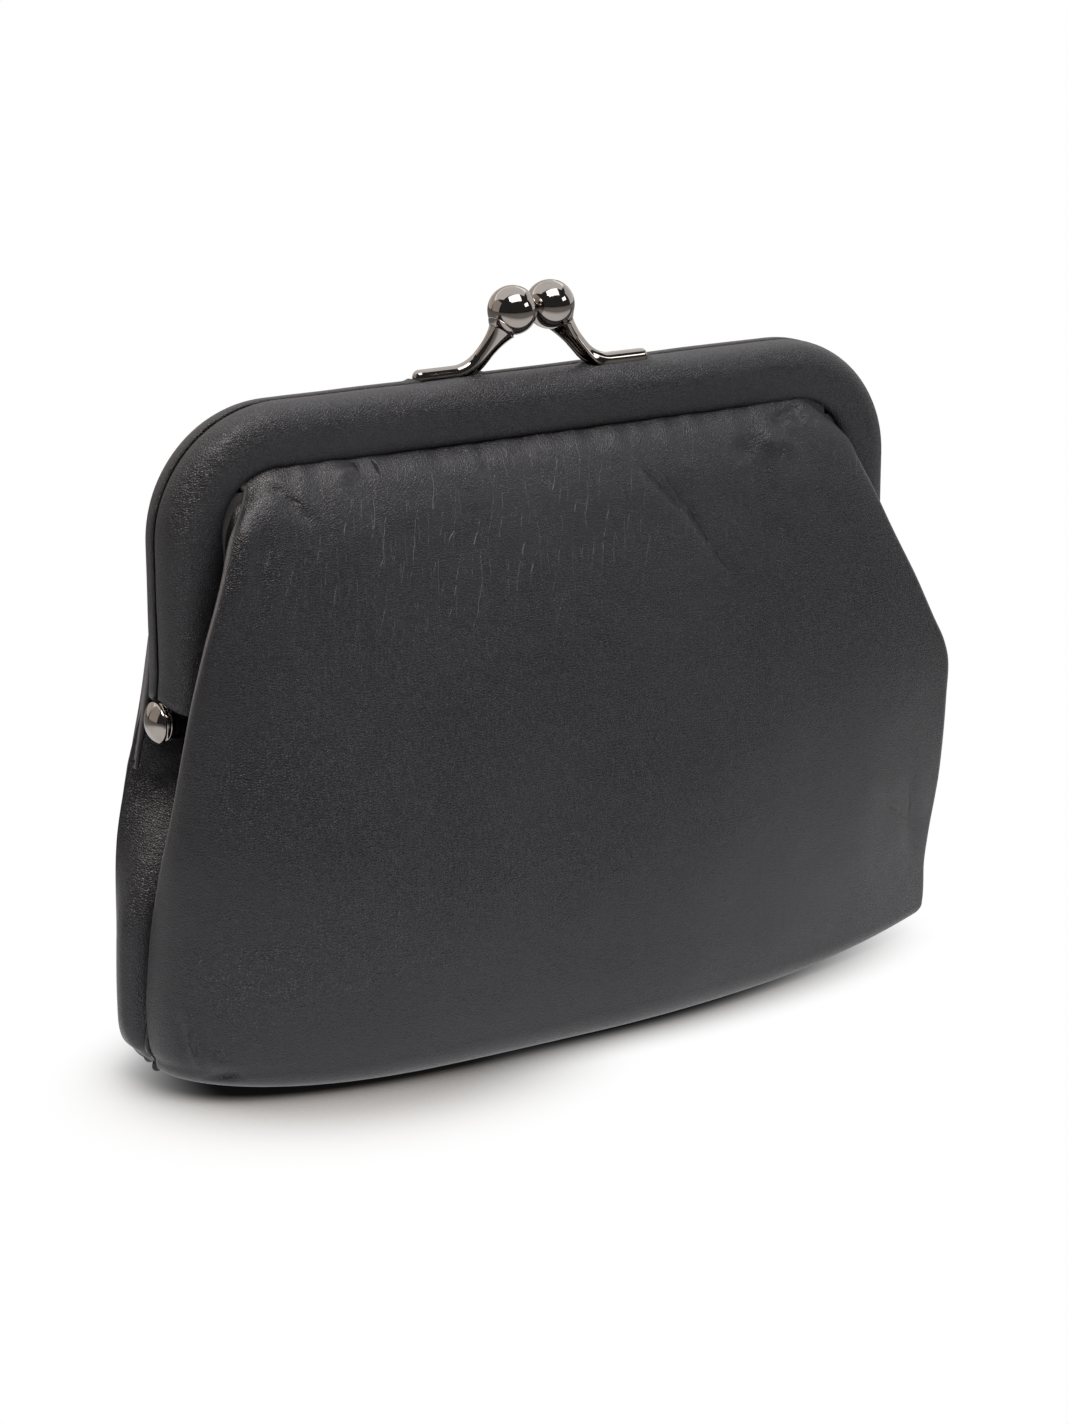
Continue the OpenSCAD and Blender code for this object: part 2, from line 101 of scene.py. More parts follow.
def bump(value: float, middle: float, width: float) -> float:
    """Bell curve of height 1."""
    return math.exp(-(((value - middle) / width) ** 2))


@dataclass(frozen=True)
class Track:
    """A smooth curve through stations of (place, value)."""

    stations: tuple[tuple[float, float], ...]

    def _slope(self, i: int) -> float:
        """Slope of the curve at station i.

        Args:
            i: number of the station.

        Returns:
            The slope there.
        """
        last = len(self.stations) - 1
        (x0, y0), (x1, y1) = self.stations[max(i - 1, 0)], self.stations[min(i + 1, last)]
        return (y1 - y0) / (x1 - x0)

    def at(self, place: float) -> float:
        """Value at a place, held level past both ends.

        Args:
            place: where along the curve.

        Returns:
            The value there.
        """
        pts = self.stations
        if place <= pts[0][0]:
            return pts[0][1]
        for i in range(len(pts) - 1):
            (x0, y0), (x1, y1) = pts[i], pts[i + 1]
            if place <= x1:
                h = x1 - x0
                t = (place - x0) / h
                return (
                    y0 * (1 + 2 * t) * (1 - t) ** 2
                    + y1 * t * t * (3 - 2 * t)
                    + h * self._slope(i) * t * (1 - t) ** 2
                    + h * self._slope(i + 1) * t * t * (t - 1)
                )
        return pts[-1][1]


@dataclass(frozen=True)
class Crease:
    """A groove or ridge pressed along a line from a to b, in millimetres.

    A positive depth presses the surface in, a negative one raises it.
    """

    a: tuple[float, float, float]
    b: tuple[float, float, float]
    width: float
    depth: float

    def push(self, at: Vector) -> float:
        """How far the surface moves in at a point.

        Args:
            at: the point, in millimetres.

        Returns:
            The depth, negative where it rises.
        """
        a, b = Vector(self.a), Vector(self.b)
        line = b - a
        t = (at - a).dot(line) / line.length_squared
        near = a + line * min(max(t, 0.0), 1.0)
        off = (at - near).length
        if off > 3 * self.width:
            return 0.0
        taper = ramp(t, -0.05, 0.3) * (1 - ramp(t, 0.7, 1.05))
        return self.depth * taper * math.exp(-((off / self.width) ** 2))


# Meshes


def finish_mesh(
    bm: bmesh.types.BMesh, name: str, material: bpy.types.Material, recalc: bool = True
) -> bpy.types.Object:
    """Turns a bmesh in millimetres into a smooth object at the origin.

    Args:
        bm: the shape, in millimetres; it is freed.
        name: name of the new piece.
        material: its finish.
        recalc: whether the faces are turned outwards first.

    Returns:
        The new object, in metres.
    """
    if recalc:
        bmesh.ops.recalc_face_normals(bm, faces=bm.faces)
    bmesh.ops.scale(bm, vec=(MM, MM, MM), verts=bm.verts)
    for face in bm.faces:
        face.smooth = True
    mesh = bpy.data.meshes.new(name)
    bm.to_mesh(mesh)
    bm.free()
    mesh.materials.append(material)
    piece = bpy.data.objects.new(name, mesh)
    bpy.context.scene.collection.objects.link(piece)
    return piece


def draw_loop(bm: bmesh.types.BMesh, points: Sequence[Vector], closed: bool = True) -> list:
    """Draws points as a chain of edges and gives the edges.

    Args:
        bm: the bmesh that is drawn in.
        points: places in order.
        closed: whether the chain runs back to its start.

    Returns:
        The edges.
    """
    verts = [bm.verts.new(p) for p in points]
    pairs = list(zip(verts, verts[1:] + verts[:1])) if closed else list(zip(verts, verts[1:]))
    return [bm.edges.new(pair) for pair in pairs]


def edges_of(geom: Iterable) -> list:
    """The edges among mixed elements."""
    return [e for e in geom if isinstance(e, bmesh.types.BMEdge)]


def verts_of(geom: Iterable) -> list:
    """The vertices among mixed elements."""
    return [v for v in geom if isinstance(v, bmesh.types.BMVert)]


def extrude_by(bm: bmesh.types.BMesh, edges: list, vector: Vector, steps: int) -> list:
    """Extrudes edges along a vector in equal steps and gives the last ones.

    Args:
        bm: the bmesh that is drawn in.
        edges: edges to start from.
        vector: the whole way.
        steps: number of steps.

    Returns:
        The edges at the end.
    """
    for _ in range(steps):
        geom = bmesh.ops.extrude_edge_only(bm, edges=edges)["geom"]
        bmesh.ops.translate(bm, vec=vector / steps, verts=verts_of(geom))
        edges = edges_of(geom)
    return edges


def thread(bm: bmesh.types.BMesh, rings: Sequence[Sequence[Vector]], closed: bool = True) -> list:
    """Extrudes a first outline through a series of outlines with as many points.

    Args:
        bm: the bmesh that is drawn in.
        rings: outlines, each a list of points in the same order.
        closed: whether an outline runs back to its start.

    Returns:
        The first and the last outline's edges.
    """
    first = draw_loop(bm, rings[0], closed)
    bm.verts.index_update()
    order = list(bm.verts)[-len(rings[0]):]
    edges = first
    for ring in rings[1:]:
        geom = bmesh.ops.extrude_edge_only(bm, edges=edges)["geom"]
        new = verts_of(geom)
        link = {}
        for v in new:
            for e in v.link_edges:
                other = e.other_vert(v)
                if other in order:
                    link[other] = v
        order = [link[v] for v in order]
        for v, p in zip(order, ring):
            v.co = p
        edges = edges_of(geom)
    return [first, edges]


def grid_piece(columns: int, rows: int, place: Callable[[int, int], Vector]) -> bmesh.types.BMesh:
    """A sheet made from a grid whose points are moved into place.

    Args:
        columns: number of points across.
        rows: number of points up.
        place: gives the place of the point at a column and a row.

    Returns:
        The bmesh of the sheet.
    """
    bm = bmesh.new()
    bmesh.ops.create_grid(bm, x_segments=columns - 1, y_segments=rows - 1, size=1.0)
    for v in bm.verts:
        i = round((v.co.x + 1) / 2 * (columns - 1))
        j = round((v.co.y + 1) / 2 * (rows - 1))
        v.co = place(i, j)
    return bm


def sculpt(bm: bmesh.types.BMesh, push: Callable[[Vector], float]) -> None:
    """Moves every vertex in along its normal by what push gives for its place.

    Args:
        bm: the mesh that is worked.
        push: how far a place moves in.
    """
    bm.normal_update()
    moves = [(v, v.normal * -push(v.co)) for v in bm.verts]
    for v, move in moves:
        v.co += move


def face_sheet(bm: bmesh.types.BMesh, miss: Callable[[Vector], float], way: Vector) -> None:
    """Makes a sheet's faces agree and turns them so that a chosen face looks a given way.

    Args:
        bm: the sheet.
        miss: how far a face's middle is from the one that is judged.
        way: the way that face looks afterwards.
    """
    bmesh.ops.recalc_face_normals(bm, faces=bm.faces)
    judged = min(bm.faces, key=lambda f: miss(f.calc_center_median()))
    if judged.normal.dot(way) < 0:
        bmesh.ops.reverse_faces(bm, faces=bm.faces)


def finish_sheet(
    bm: bmesh.types.BMesh, name: str, material: bpy.types.Material, wall: float, half: Half
) -> bpy.types.Object:
    """Turns a sheet into a soft piece with a wall.

    Args:
        bm: the sheet, in millimetres; it is freed.
        name: name of the new piece.
        material: its finish.
        wall: its thickness, set inwards.
        half: the half of the purse that it belongs to; not used.

    Returns:
        The piece.
    """
    piece = finish_mesh(bm, name, material, recalc=False)
    thick = piece.modifiers.new("wall", "SOLIDIFY")
    thick.thickness = wall * MM
    thick.offset = -1.0
    half.body
    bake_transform(piece)
    return piece


def ripple(at: Vector, size: float, seed: float) -> float:
    """Soft uneven swell between -1 and 1 with waves of about the given size."""
    return noise.noise(Vector((at.x / size + seed, at.y / size, at.z / size)))


# Shaders


class Value:
    """A shader value that adds Math nodes as it is worked with."""

    def __init__(self, tree: "Shader", socket: Any) -> None:
        """Wraps a socket or a number of a tree."""
        self.tree = tree
        self.socket = socket

    def _math(self, operation: str, *values: Any) -> "Value":
        """Adds one Math node."""
        return self.tree.node("ShaderNodeMath", {"operation": operation}, dict(enumerate(values)))

    def __add__(self, other: Any) -> "Value":
        """The value plus another."""
        return self._math("ADD", self, other)

    __radd__ = __add__

    def __sub__(self, other: Any) -> "Value":
        """The value less another."""
        return self._math("SUBTRACT", self, other)

    def __rsub__(self, other: Any) -> "Value":
        """Another less the value."""
        return self._math("SUBTRACT", other, self)

    def __mul__(self, other: Any) -> "Value":
        """The value times another."""
        return self._math("MULTIPLY", self, other)

    __rmul__ = __mul__

    def __pow__(self, other: Any) -> "Value":
        """The value to a power."""
        return self._math("POWER", self, other)

    def smooth(self, low: float, high: float) -> "Value":
        """Smooth step of the value between two numbers."""
        settings = {"interpolation_type": "SMOOTHSTEP"}
        return self.tree.node("ShaderNodeMapRange", settings, {"Value": self, 1: low, 2: high})

    def absolute(self) -> "Value":
        """The value without its sign."""
        return self._math("ABSOLUTE", self)

    def fraction(self) -> "Value":
        """What is left of the value past its whole part."""
        return self._math("FRACT", self)

    def floor(self) -> "Value":
        """The value's whole part."""
        return self._math("FLOOR", self)

    def wave(self) -> "Value":
        """Sine of the value, moved to lie between 0 and 1."""
        return self._math("SINE", self) * 0.5 + 0.5


class Shader:
    """A material's node tree with one Principled surface."""

    def __init__(self, name: str) -> None:
        """Starts an empty material.

        Args:
            name: name of the material.
        """
        self.material = bpy.data.materials.new(name)
        self.material.use_nodes = True
        self.nodes = self.material.node_tree.nodes
        self.links = self.material.node_tree.links
        self.nodes.clear()
        self.output = self.nodes.new("ShaderNodeOutputMaterial")

    def node(
        self, kind: str, settings: dict | None = None, inputs: dict | None = None, out: Any = 0
    ) -> Value:
        """Adds any node.

        Args:
            kind: the node's type.
            settings: properties of the node, set first.
            inputs: values or links of its sockets, by name or number.
            out: which output the result stands for.

        Returns:
            The chosen output as a value.
        """
        node = self.nodes.new(kind)
        for key, value in (settings or {}).items():
            setattr(node, key, value)
        for key, value in (inputs or {}).items():
            socket = node.inputs[key]
            if isinstance(value, Value):
                self.links.new(value.socket, socket)
            elif isinstance(value, tuple) and len(value) == 3 and socket.type == "RGBA":
                socket.default_value = (*value, 1.0)
            else:
                socket.default_value = value
        return Value(self, node.outputs[out])

    def object_coords(self) -> Value:
        """Object coordinates, in metres."""
        return self.node("ShaderNodeTexCoord", out="Object")

    def mapped(self, scale: tuple[float, float, float], turn: float = 0.0) -> Value:
        """Object coordinates scaled along each axis and turned about Y."""
        inputs = {"Vector": self.object_coords(), "Scale": scale, "Rotation": (0.0, turn, 0.0)}
        return self.node("ShaderNodeMapping", None, inputs)

    def axis(self, letter: str) -> Value:
        """One object coordinate, in millimetres."""
        split = self.node("ShaderNodeSeparateXYZ", None, {"Vector": self.object_coords()}, letter)
        return split * 1000.0

    def noise(self, vector: Value, scale: float, detail: float = 2.0, rough: float = 0.5) -> Value:
        """Noise between 0 and 1."""
        inputs = {"Vector": vector, "Scale": scale, "Detail": detail, "Roughness": rough}
        return self.node("ShaderNodeTexNoise", None, inputs)

    def cells(self, vector: Value, scale: float, feature: str = "F1") -> Value:
        """Cell pattern: distance to the nearest point or edge."""
        inputs = {"Vector": vector, "Scale": scale}
        return self.node("ShaderNodeTexVoronoi", {"feature": feature}, inputs, "Distance")

    def length(self, vector: Value) -> Value:
        """Length of a vector."""
        return self.node("ShaderNodeVectorMath", {"operation": "LENGTH"}, {0: vector}, "Value")

    def blend(self, amount: Any, a: Any, b: Any) -> Value:
        """Colour between a and b."""
        inputs = {0: amount, 6: a, 7: b}
        return self.node("ShaderNodeMix", {"data_type": "RGBA"}, inputs, 2)

    def bump(self, height: Value, distance: float, strength: float = 1.0, base: Any = None) -> Value:
        """Bump normal from a height between 0 and 1.

        Args:
            height: the relief.
            distance: its full depth in metres.
            strength: share of it that shows.
            base: a normal that it is laid on.

        Returns:
            The normal.
        """
        inputs = {"Height": height, "Distance": distance, "Strength": strength}
        if base is not None:
            inputs["Normal"] = base
        return self.node("ShaderNodeBump", None, inputs)

    def surface(self, **inputs: Any) -> bpy.types.Material:
        """Adds the Principled shader, with underscores for the spaces in its sockets' names.

        Args:
            inputs: values or links of its sockets.

        Returns:
            The finished material.
        """
        named = {key.replace("_", " "): value for key, value in inputs.items()}
        shader = self.node("ShaderNodeBsdfPrincipled", None, named)
        self.links.new(shader.socket, self.output.inputs["Surface"])
        return self.material


@dataclass(frozen=True)
class Nappa:
    """Soft smooth black leather: fine grain, hair-thin pale creases, a dull sheen and a painted highlight
    along the panels' rolled edges.
    """

    name: str
    colour: tuple[float, float, float] = (0.0066, 0.0066, 0.0084)
    worn: tuple[float, float, float] = (0.0132, 0.0129, 0.0158)
    # Pale crease colour. The panels' rolled edges are also turned towards it as a painted highlight.
    line: tuple[float, float, float] = (0.27, 0.268, 0.275)
    roughness: float = 0.36
    grain: float = 0.00011
    crease: float = 0.0002
    crease_from: float = 60.0
    crease_to: float = 86.0
    strokes: tuple[Crease, ...] = ()

    def _lines(self, s: Shader, pitch: float, lean: float, width: float) -> Value:
        """Wavy broken lines that run up the leather, a pitch and a width in millimetres.

        Args:
            s: the leather's shader.
            pitch: distance between lines.
            lean: how far a line leans for each millimetre up.
            width: half the width of a line.

        Returns:
            A mask, 1 on a line.
        """
        coords = s.object_coords()
        wave = s.noise(s.mapped((75.0, 75.0, 34.0)), 1.0, 2.0, 0.5) * 2.1
        jag = s.noise(s.mapped((420.0, 420.0, 330.0)), 1.0, 1.0, 0.5) * 0.5
        place = (s.axis("X") - s.axis("Z") * lean) * (1 / pitch) + wave + jag
        line = 1.0 - (place.fraction() - 0.5).absolute().smooth(0.0, width / pitch)
        inputs = {"X": place.floor() * 7.3, "Y": s.axis("Z") * 0.16, "Z": s.axis("Y") * 0.02}
        along = s.node("ShaderNodeCombineXYZ", None, inputs)
        breaks = s.noise(along, 1.0, 3.0, 0.65).smooth(0.48, 0.6)
        return line * breaks * s.noise(coords, 600.0).smooth(0.34, 0.58)

    def _strokes(self, s: Shader) -> Value:
        """Folds pressed in along given lines, from 0 to 1.

        Args:
            s: the leather's shader.

        Returns:
            The depth of the folds.
        """
        inputs: dict = {"Vector": s.object_coords(), "Scale": 420.0, "Detail": 3.0}
        shake = s.node("ShaderNodeTexNoise", None, inputs, "Color")
        offset = s.node("ShaderNodeVectorMath", {"operation": "SUBTRACT"}, {0: shake, 1: (0.5, 0.5, 0.5)})
        inputs = {0: offset, 1: (0.0012, 0.0012, 0.0012), 2: s.object_coords()}
        shaken = s.node("ShaderNodeVectorMath", {"operation": "MULTIPLY_ADD"}, inputs)
        total: Any = 0.0
        for stroke in self.strokes:
            start, end = Vector(stroke.a) * MM, Vector(stroke.b) * MM
            turn = Vector((1, 0, 0)).rotation_difference(end - start).to_euler("XYZ")
            inputs = {
                "Vector": shaken,
                "Location": tuple((start + end) / 2),
                "Rotation": tuple(turn),
                "Scale": ((end - start).length / 2, stroke.width * MM, stroke.width * MM),
            }
            local = s.node("ShaderNodeMapping", {"vector_type": "TEXTURE"}, inputs)
            total = (1.0 - s.length(local).smooth(0.0, 1.0)) * stroke.depth + total
        return total

    def material(self) -> bpy.types.Material:
        """Builds the leather.

        Returns:
            The finished material.
        """
        s = Shader(self.name)
        coords = s.object_coords()
        pores = s.cells(coords, 2600.0, "DISTANCE_TO_EDGE").smooth(0.0, 0.3)
        pebble = s.noise(coords, 1800.0, 2.0, 0.6)
        patches = s.noise(coords, 42.0, 3.0, 0.55)
        height = s.axis("Z").smooth(self.crease_from, self.crease_to)
        amount = height * (patches.smooth(0.4, 0.6) * 0.8 + 0.2)
        amount = amount * (1.0 - (s.axis("X") + 17.0).absolute().smooth(8.0, 34.0) * 0.72)
        folds = (self._lines(s, 2.2, 0.34, 0.1) + self._lines(s, 1.5, 0.1, 0.08) * 0.6) * amount
        grain = (pores * 0.6 + pebble * 0.4) * (1.3 - s.axis("Z").smooth(10.0, 45.0) * 0.5)
        relief = s.bump(grain, self.grain, 0.7)
        relief = s.bump(folds, self.crease, 0.7, relief)
        if self.strokes:
            relief = s.bump(1.0 - self._strokes(s), 0.0009, 0.9, relief)
        relief = s.bump(s.noise(coords, 170.0, 3.0, 0.5), 0.0004, 0.5, relief)
        wear = patches.smooth(0.3, 0.75) * 0.5 + pebble.smooth(0.45, 0.8) * 0.4
        tone = s.blend(wear, self.colour, self.worn)
        # Painted highlight: along the panels' rolled edges the rim attribute turns the colour pale, standing
        # in for light caught by the fold.
        rim = s.node("ShaderNodeAttribute", {"attribute_name": "rim"}, out="Fac")
        return s.surface(
            Base_Color=s.blend(folds * 0.95 + rim * 0.85, tone, self.line),
            Roughness=(patches - 0.5) * 0.12 + self.roughness + (1.0 - pores) * 0.1,
            Normal=relief,
            Specular_IOR_Level=0.72,
            Specular_Tint=(0.96, 0.955, 1.0, 1.0),
        )


@dataclass(frozen=True)
class Nickel:
    """Polished metal with faint hairlines, handling marks and a slight tint."""

    name: str
    colour: tuple[float, float, float] = (0.36, 0.325, 0.3)
    smudge: tuple[float, float, float] = (0.28, 0.25, 0.23)
    roughness: float = 0.05
    scratch: float = 0.000004

    def material(self) -> bpy.types.Material:
        """Builds the metal.

        Returns:
            The finished material.
        """
        s = Shader(self.name)
        coords = s.object_coords()
        marks = s.noise(coords, 420.0, 4.0, 0.6).smooth(0.5, 0.78)
        hair = s.noise(s.mapped((900.0, 5200.0, 5200.0), 0.3), 1.0, 2.0, 0.5)
        pits = s.cells(coords, 900.0).smooth(0.0, 0.12)
        relief = s.bump(hair * 0.6 + pits * 0.4, self.scratch, 0.5)
        return s.surface(
            Base_Color=s.blend(marks * 0.7 + (1.0 - pits) * 0.3, self.colour, self.smudge),
            Metallic=1.0,
            Roughness=marks * 0.05 + hair * 0.02 + self.roughness,
            Normal=relief,
        )


@dataclass(frozen=True)
class LiningCloth:
    """Fine twill lining: a diagonal weave of thin threads."""

    name: str
    colour: tuple[float, float, float] = (0.03, 0.029, 0.031)
    light: tuple[float, float, float] = (0.075, 0.072, 0.074)

    def material(self) -> bpy.types.Material:
        """Builds the cloth.

        Returns:
            The finished material.
        """
        s = Shader(self.name)
        coords = s.object_coords()
        wobble = s.noise(coords, 300.0, 2.0) * 0.5
        twill = (s.axis("X") + s.axis("Z") + wobble) * 11.0
        rib = twill.wave()
        cross = (s.axis("X") - s.axis("Z") + wobble) * 19.0
        thread_line = cross.wave()
        weave = rib * 0.7 + thread_line * 0.3
        slub = s.noise(coords, 900.0, 3.0, 0.6)
        return s.surface(
            Base_Color=s.blend(weave * 0.7 + slub * 0.3, self.colour, self.light),
            Roughness=0.85 - weave * 0.15,
            Normal=s.bump(weave * 0.8 + slub * 0.2, 0.00006, 0.7),
        )


@dataclass(frozen=True)
class PaperCord:
    """Twisted paper cord."""

    name: str
    colour: tuple[float, float, float] = (0.42, 0.32, 0.21)
    light: tuple[float, float, float] = (0.62, 0.52, 0.39)

    def material(self) -> bpy.types.Material:
        """Builds the cord's paper.

        Returns:
            The finished material.
        """
        s = Shader(self.name)
        coords = s.object_coords()
        ply = (s.axis("X") + s.axis("Z") * 1.7 + s.axis("Y") * 2.0) * 2.4
        twist = ply.wave()
        fibre = s.noise(coords, 2600.0, 3.0, 0.6)
        return s.surface(
            Base_Color=s.blend(twist * 0.6 + fibre * 0.4, self.colour, self.light),
            Roughness=fibre * 0.2 + 0.75,
            Normal=s.bump(twist * 0.7 + fibre * 0.3, 0.00015, 0.8),
        )


POUCH_STROKES = (
    Crease((-54.2, -5.9, 96.8), (-49.4, -7.8, 93.8), 0.5, 1.0),
    Crease((-50.4, -7.4, 94.4), (-46.6, -9.0, 91.2), 0.6, 0.6),
    Crease((-36.6, -4.9, 97.4), (-35.7, -6.9, 95.4), 0.4, 0.7),
    Crease((-32.8, -5.2, 97.3), (-32.7, -7.6, 94.6), 0.4, 0.7),
    Crease((42.4, -7.4, 94.8), (50.2, -5.9, 96.8), 0.8, 1.0),
    Crease((46.0, -7.4, 94.7), (53.8, -6.4, 96.2), 0.6, 0.8),
    Crease((49.6, -7.9, 93.6), (54.8, -6.6, 95.6), 0.5, 0.7),
    Crease((40.0, -7.9, 93.8), (41.4, -9.2, 90.4), 0.6, 0.5),
    Crease((44.2, -8.2, 93.0), (42.6, -9.9, 88.4), 0.6, 0.4),
    Crease((13.8, -9.2, 91.6), (24.6, -12.7, 80.0), 0.45, 0.7),
    Crease((18.0, -9.6, 90.6), (30.6, -15.0, 69.4), 0.45, 0.65),
    Crease((58.0, -16.9, 30.0), (75.6, -10.6, 18.0), 0.7, 0.35),
    Crease((66.0, -13.9, 34.0), (72.0, -11.8, 12.0), 0.7, 0.3),
    Crease((-70.6, -12.8, 3.0), (-64.6, -16.9, 3.9), 0.5, 1.6),
    Crease((-73.4, -11.1, 14.0), (-71.0, -12.4, 3.4), 0.8, 0.7),
    Crease((-72.2, -12.4, 15.0), (-69.8, -13.4, 3.8), 0.7, 0.5),
)


@dataclass
class Finishes:
    """Every finish of the purse, built once."""

    pouch: bpy.types.Material = field(init=False)
    cover: bpy.types.Material = field(init=False)
    lining: bpy.types.Material = field(init=False)
    nickel: bpy.types.Material = field(init=False)
    rail: bpy.types.Material = field(init=False)
    core: bpy.types.Material = field(init=False)
    cord: bpy.types.Material = field(init=False)

    def __post_init__(self) -> None:
        """Builds the materials."""
        self.pouch = Nappa("pouch_nappa", strokes=POUCH_STROKES).material()
        self.cover = Nappa(
            "cover_nappa", roughness=0.38, grain=0.00018, crease_from=112.0, crease_to=140.0
        ).material()
        self.lining = LiningCloth("lining_twill").material()
        self.nickel = Nickel("black_nickel").material()
        self.rail = Nickel(
            "rail_plating", colour=(0.3, 0.27, 0.25), smudge=(0.18, 0.16, 0.15), roughness=0.14
        ).material()
        self.core = Nickel(
            "core_sheet", colour=(0.5, 0.5, 0.5), smudge=(0.32, 0.3, 0.28), roughness=0.35
        ).material()
        self.cord = PaperCord("paper_cord").material()


# The frame


@dataclass
class Arch:
    """The line of the frame seen from the front, in millimetres."""

    half_width: float = 68.7
    top: float = 107.0
    corner_r: float = 21.0
    corner_steps: int = 28

    @property
    def corner_x(self) -> float:
        """X of a corner's centre."""
        return self.half_width - self.corner_r

    @property
    def corner_z(self) -> float:
        """Z of a corner's centre."""
        return self.top - self.corner_r

    def locate(self, x: float, z: float) -> tuple[float, float, float, float]:
        """Where a point lies on the arch.

        Args:
            x: place across.
            z: height.

        Returns:
            How far in it is from the outer edge, the outward direction's X and Z, and how far
            round the corner it is: 0 on the top, 1 on a leg.
        """
        side = 1.0 if x >= 0 else -1.0
        dx, dz = abs(x) - self.corner_x, z - self.corner_z
        if dx <= 0:
            return self.top - z, 0.0, 1.0, 0.0
        if dz <= 0:
            return self.half_width - abs(x), side, 0.0, 1.0
        r = math.hypot(dx, dz)
        return self.corner_r - r, side * dx / r, dz / r, math.atan2(dx, dz) / (math.pi / 2)

    def inner_z(self, x: float, reach: float) -> float:
        """Height of the line a reach in from the outer edge, over a place across.

        Args:
            x: place across.
            reach: how far in.

        Returns:
            The height.
        """
        past = max(abs(x) - self.corner_x, 0.0)
        r = self.corner_r - reach
        return self.corner_z + math.sqrt(max(r * r - past * past, 0.0))

    def leg_in(self, z: float, reach: float) -> float:
        """How far out the line a reach in from the outer edge is at a height.

        Args:
            z: height.
            reach: how far in.

        Returns:
            The distance from the middle.
        """
        up = max(z - self.corner_z, 0.0)
        r = self.corner_r - reach
        return self.corner_x + math.sqrt(max(r * r - up * up, 0.0))

    def sweep(
        self, bm: bmesh.types.BMesh, outline: Sequence[tuple[float, float]], foot: float, top_steps: int
    ) -> tuple[list, list]:
        """Draws an outline at the left leg's foot and sweeps it round the arch.

        Args:
            bm: the bmesh that is drawn in.
            outline: points of (reach in from the outer edge, y).
            foot: height of the legs' ends.
            top_steps: number of steps along the top.

        Returns:
            The edges at the left and at the right foot.
        """
        start = [Vector((-self.half_width + r, y, foot)) for r, y in outline]
        first = draw_loop(bm, start)
        rise = self.corner_z - foot
        leg_steps = max(int(rise), 4)
        edges = extrude_by(bm, first, Vector((0, 0, rise)), leg_steps)
        for side in (-1.0, 1.0):
            turned = bmesh.ops.spin(
                bm,
                geom=edges,
                cent=(side * self.corner_x, 0, self.corner_z),
                axis=(0, 1, 0),
                dvec=(0, 0, 0),
                angle=math.radians(90),
                steps=self.corner_steps,
                use_duplicate=False,
            )
            edges = edges_of(turned["geom_last"])
            if side < 0:
                edges = extrude_by(bm, edges, Vector((2 * self.corner_x, 0, 0)), top_steps)
        edges = extrude_by(bm, edges, Vector((0, 0, -rise)), leg_steps)
        return first, edges


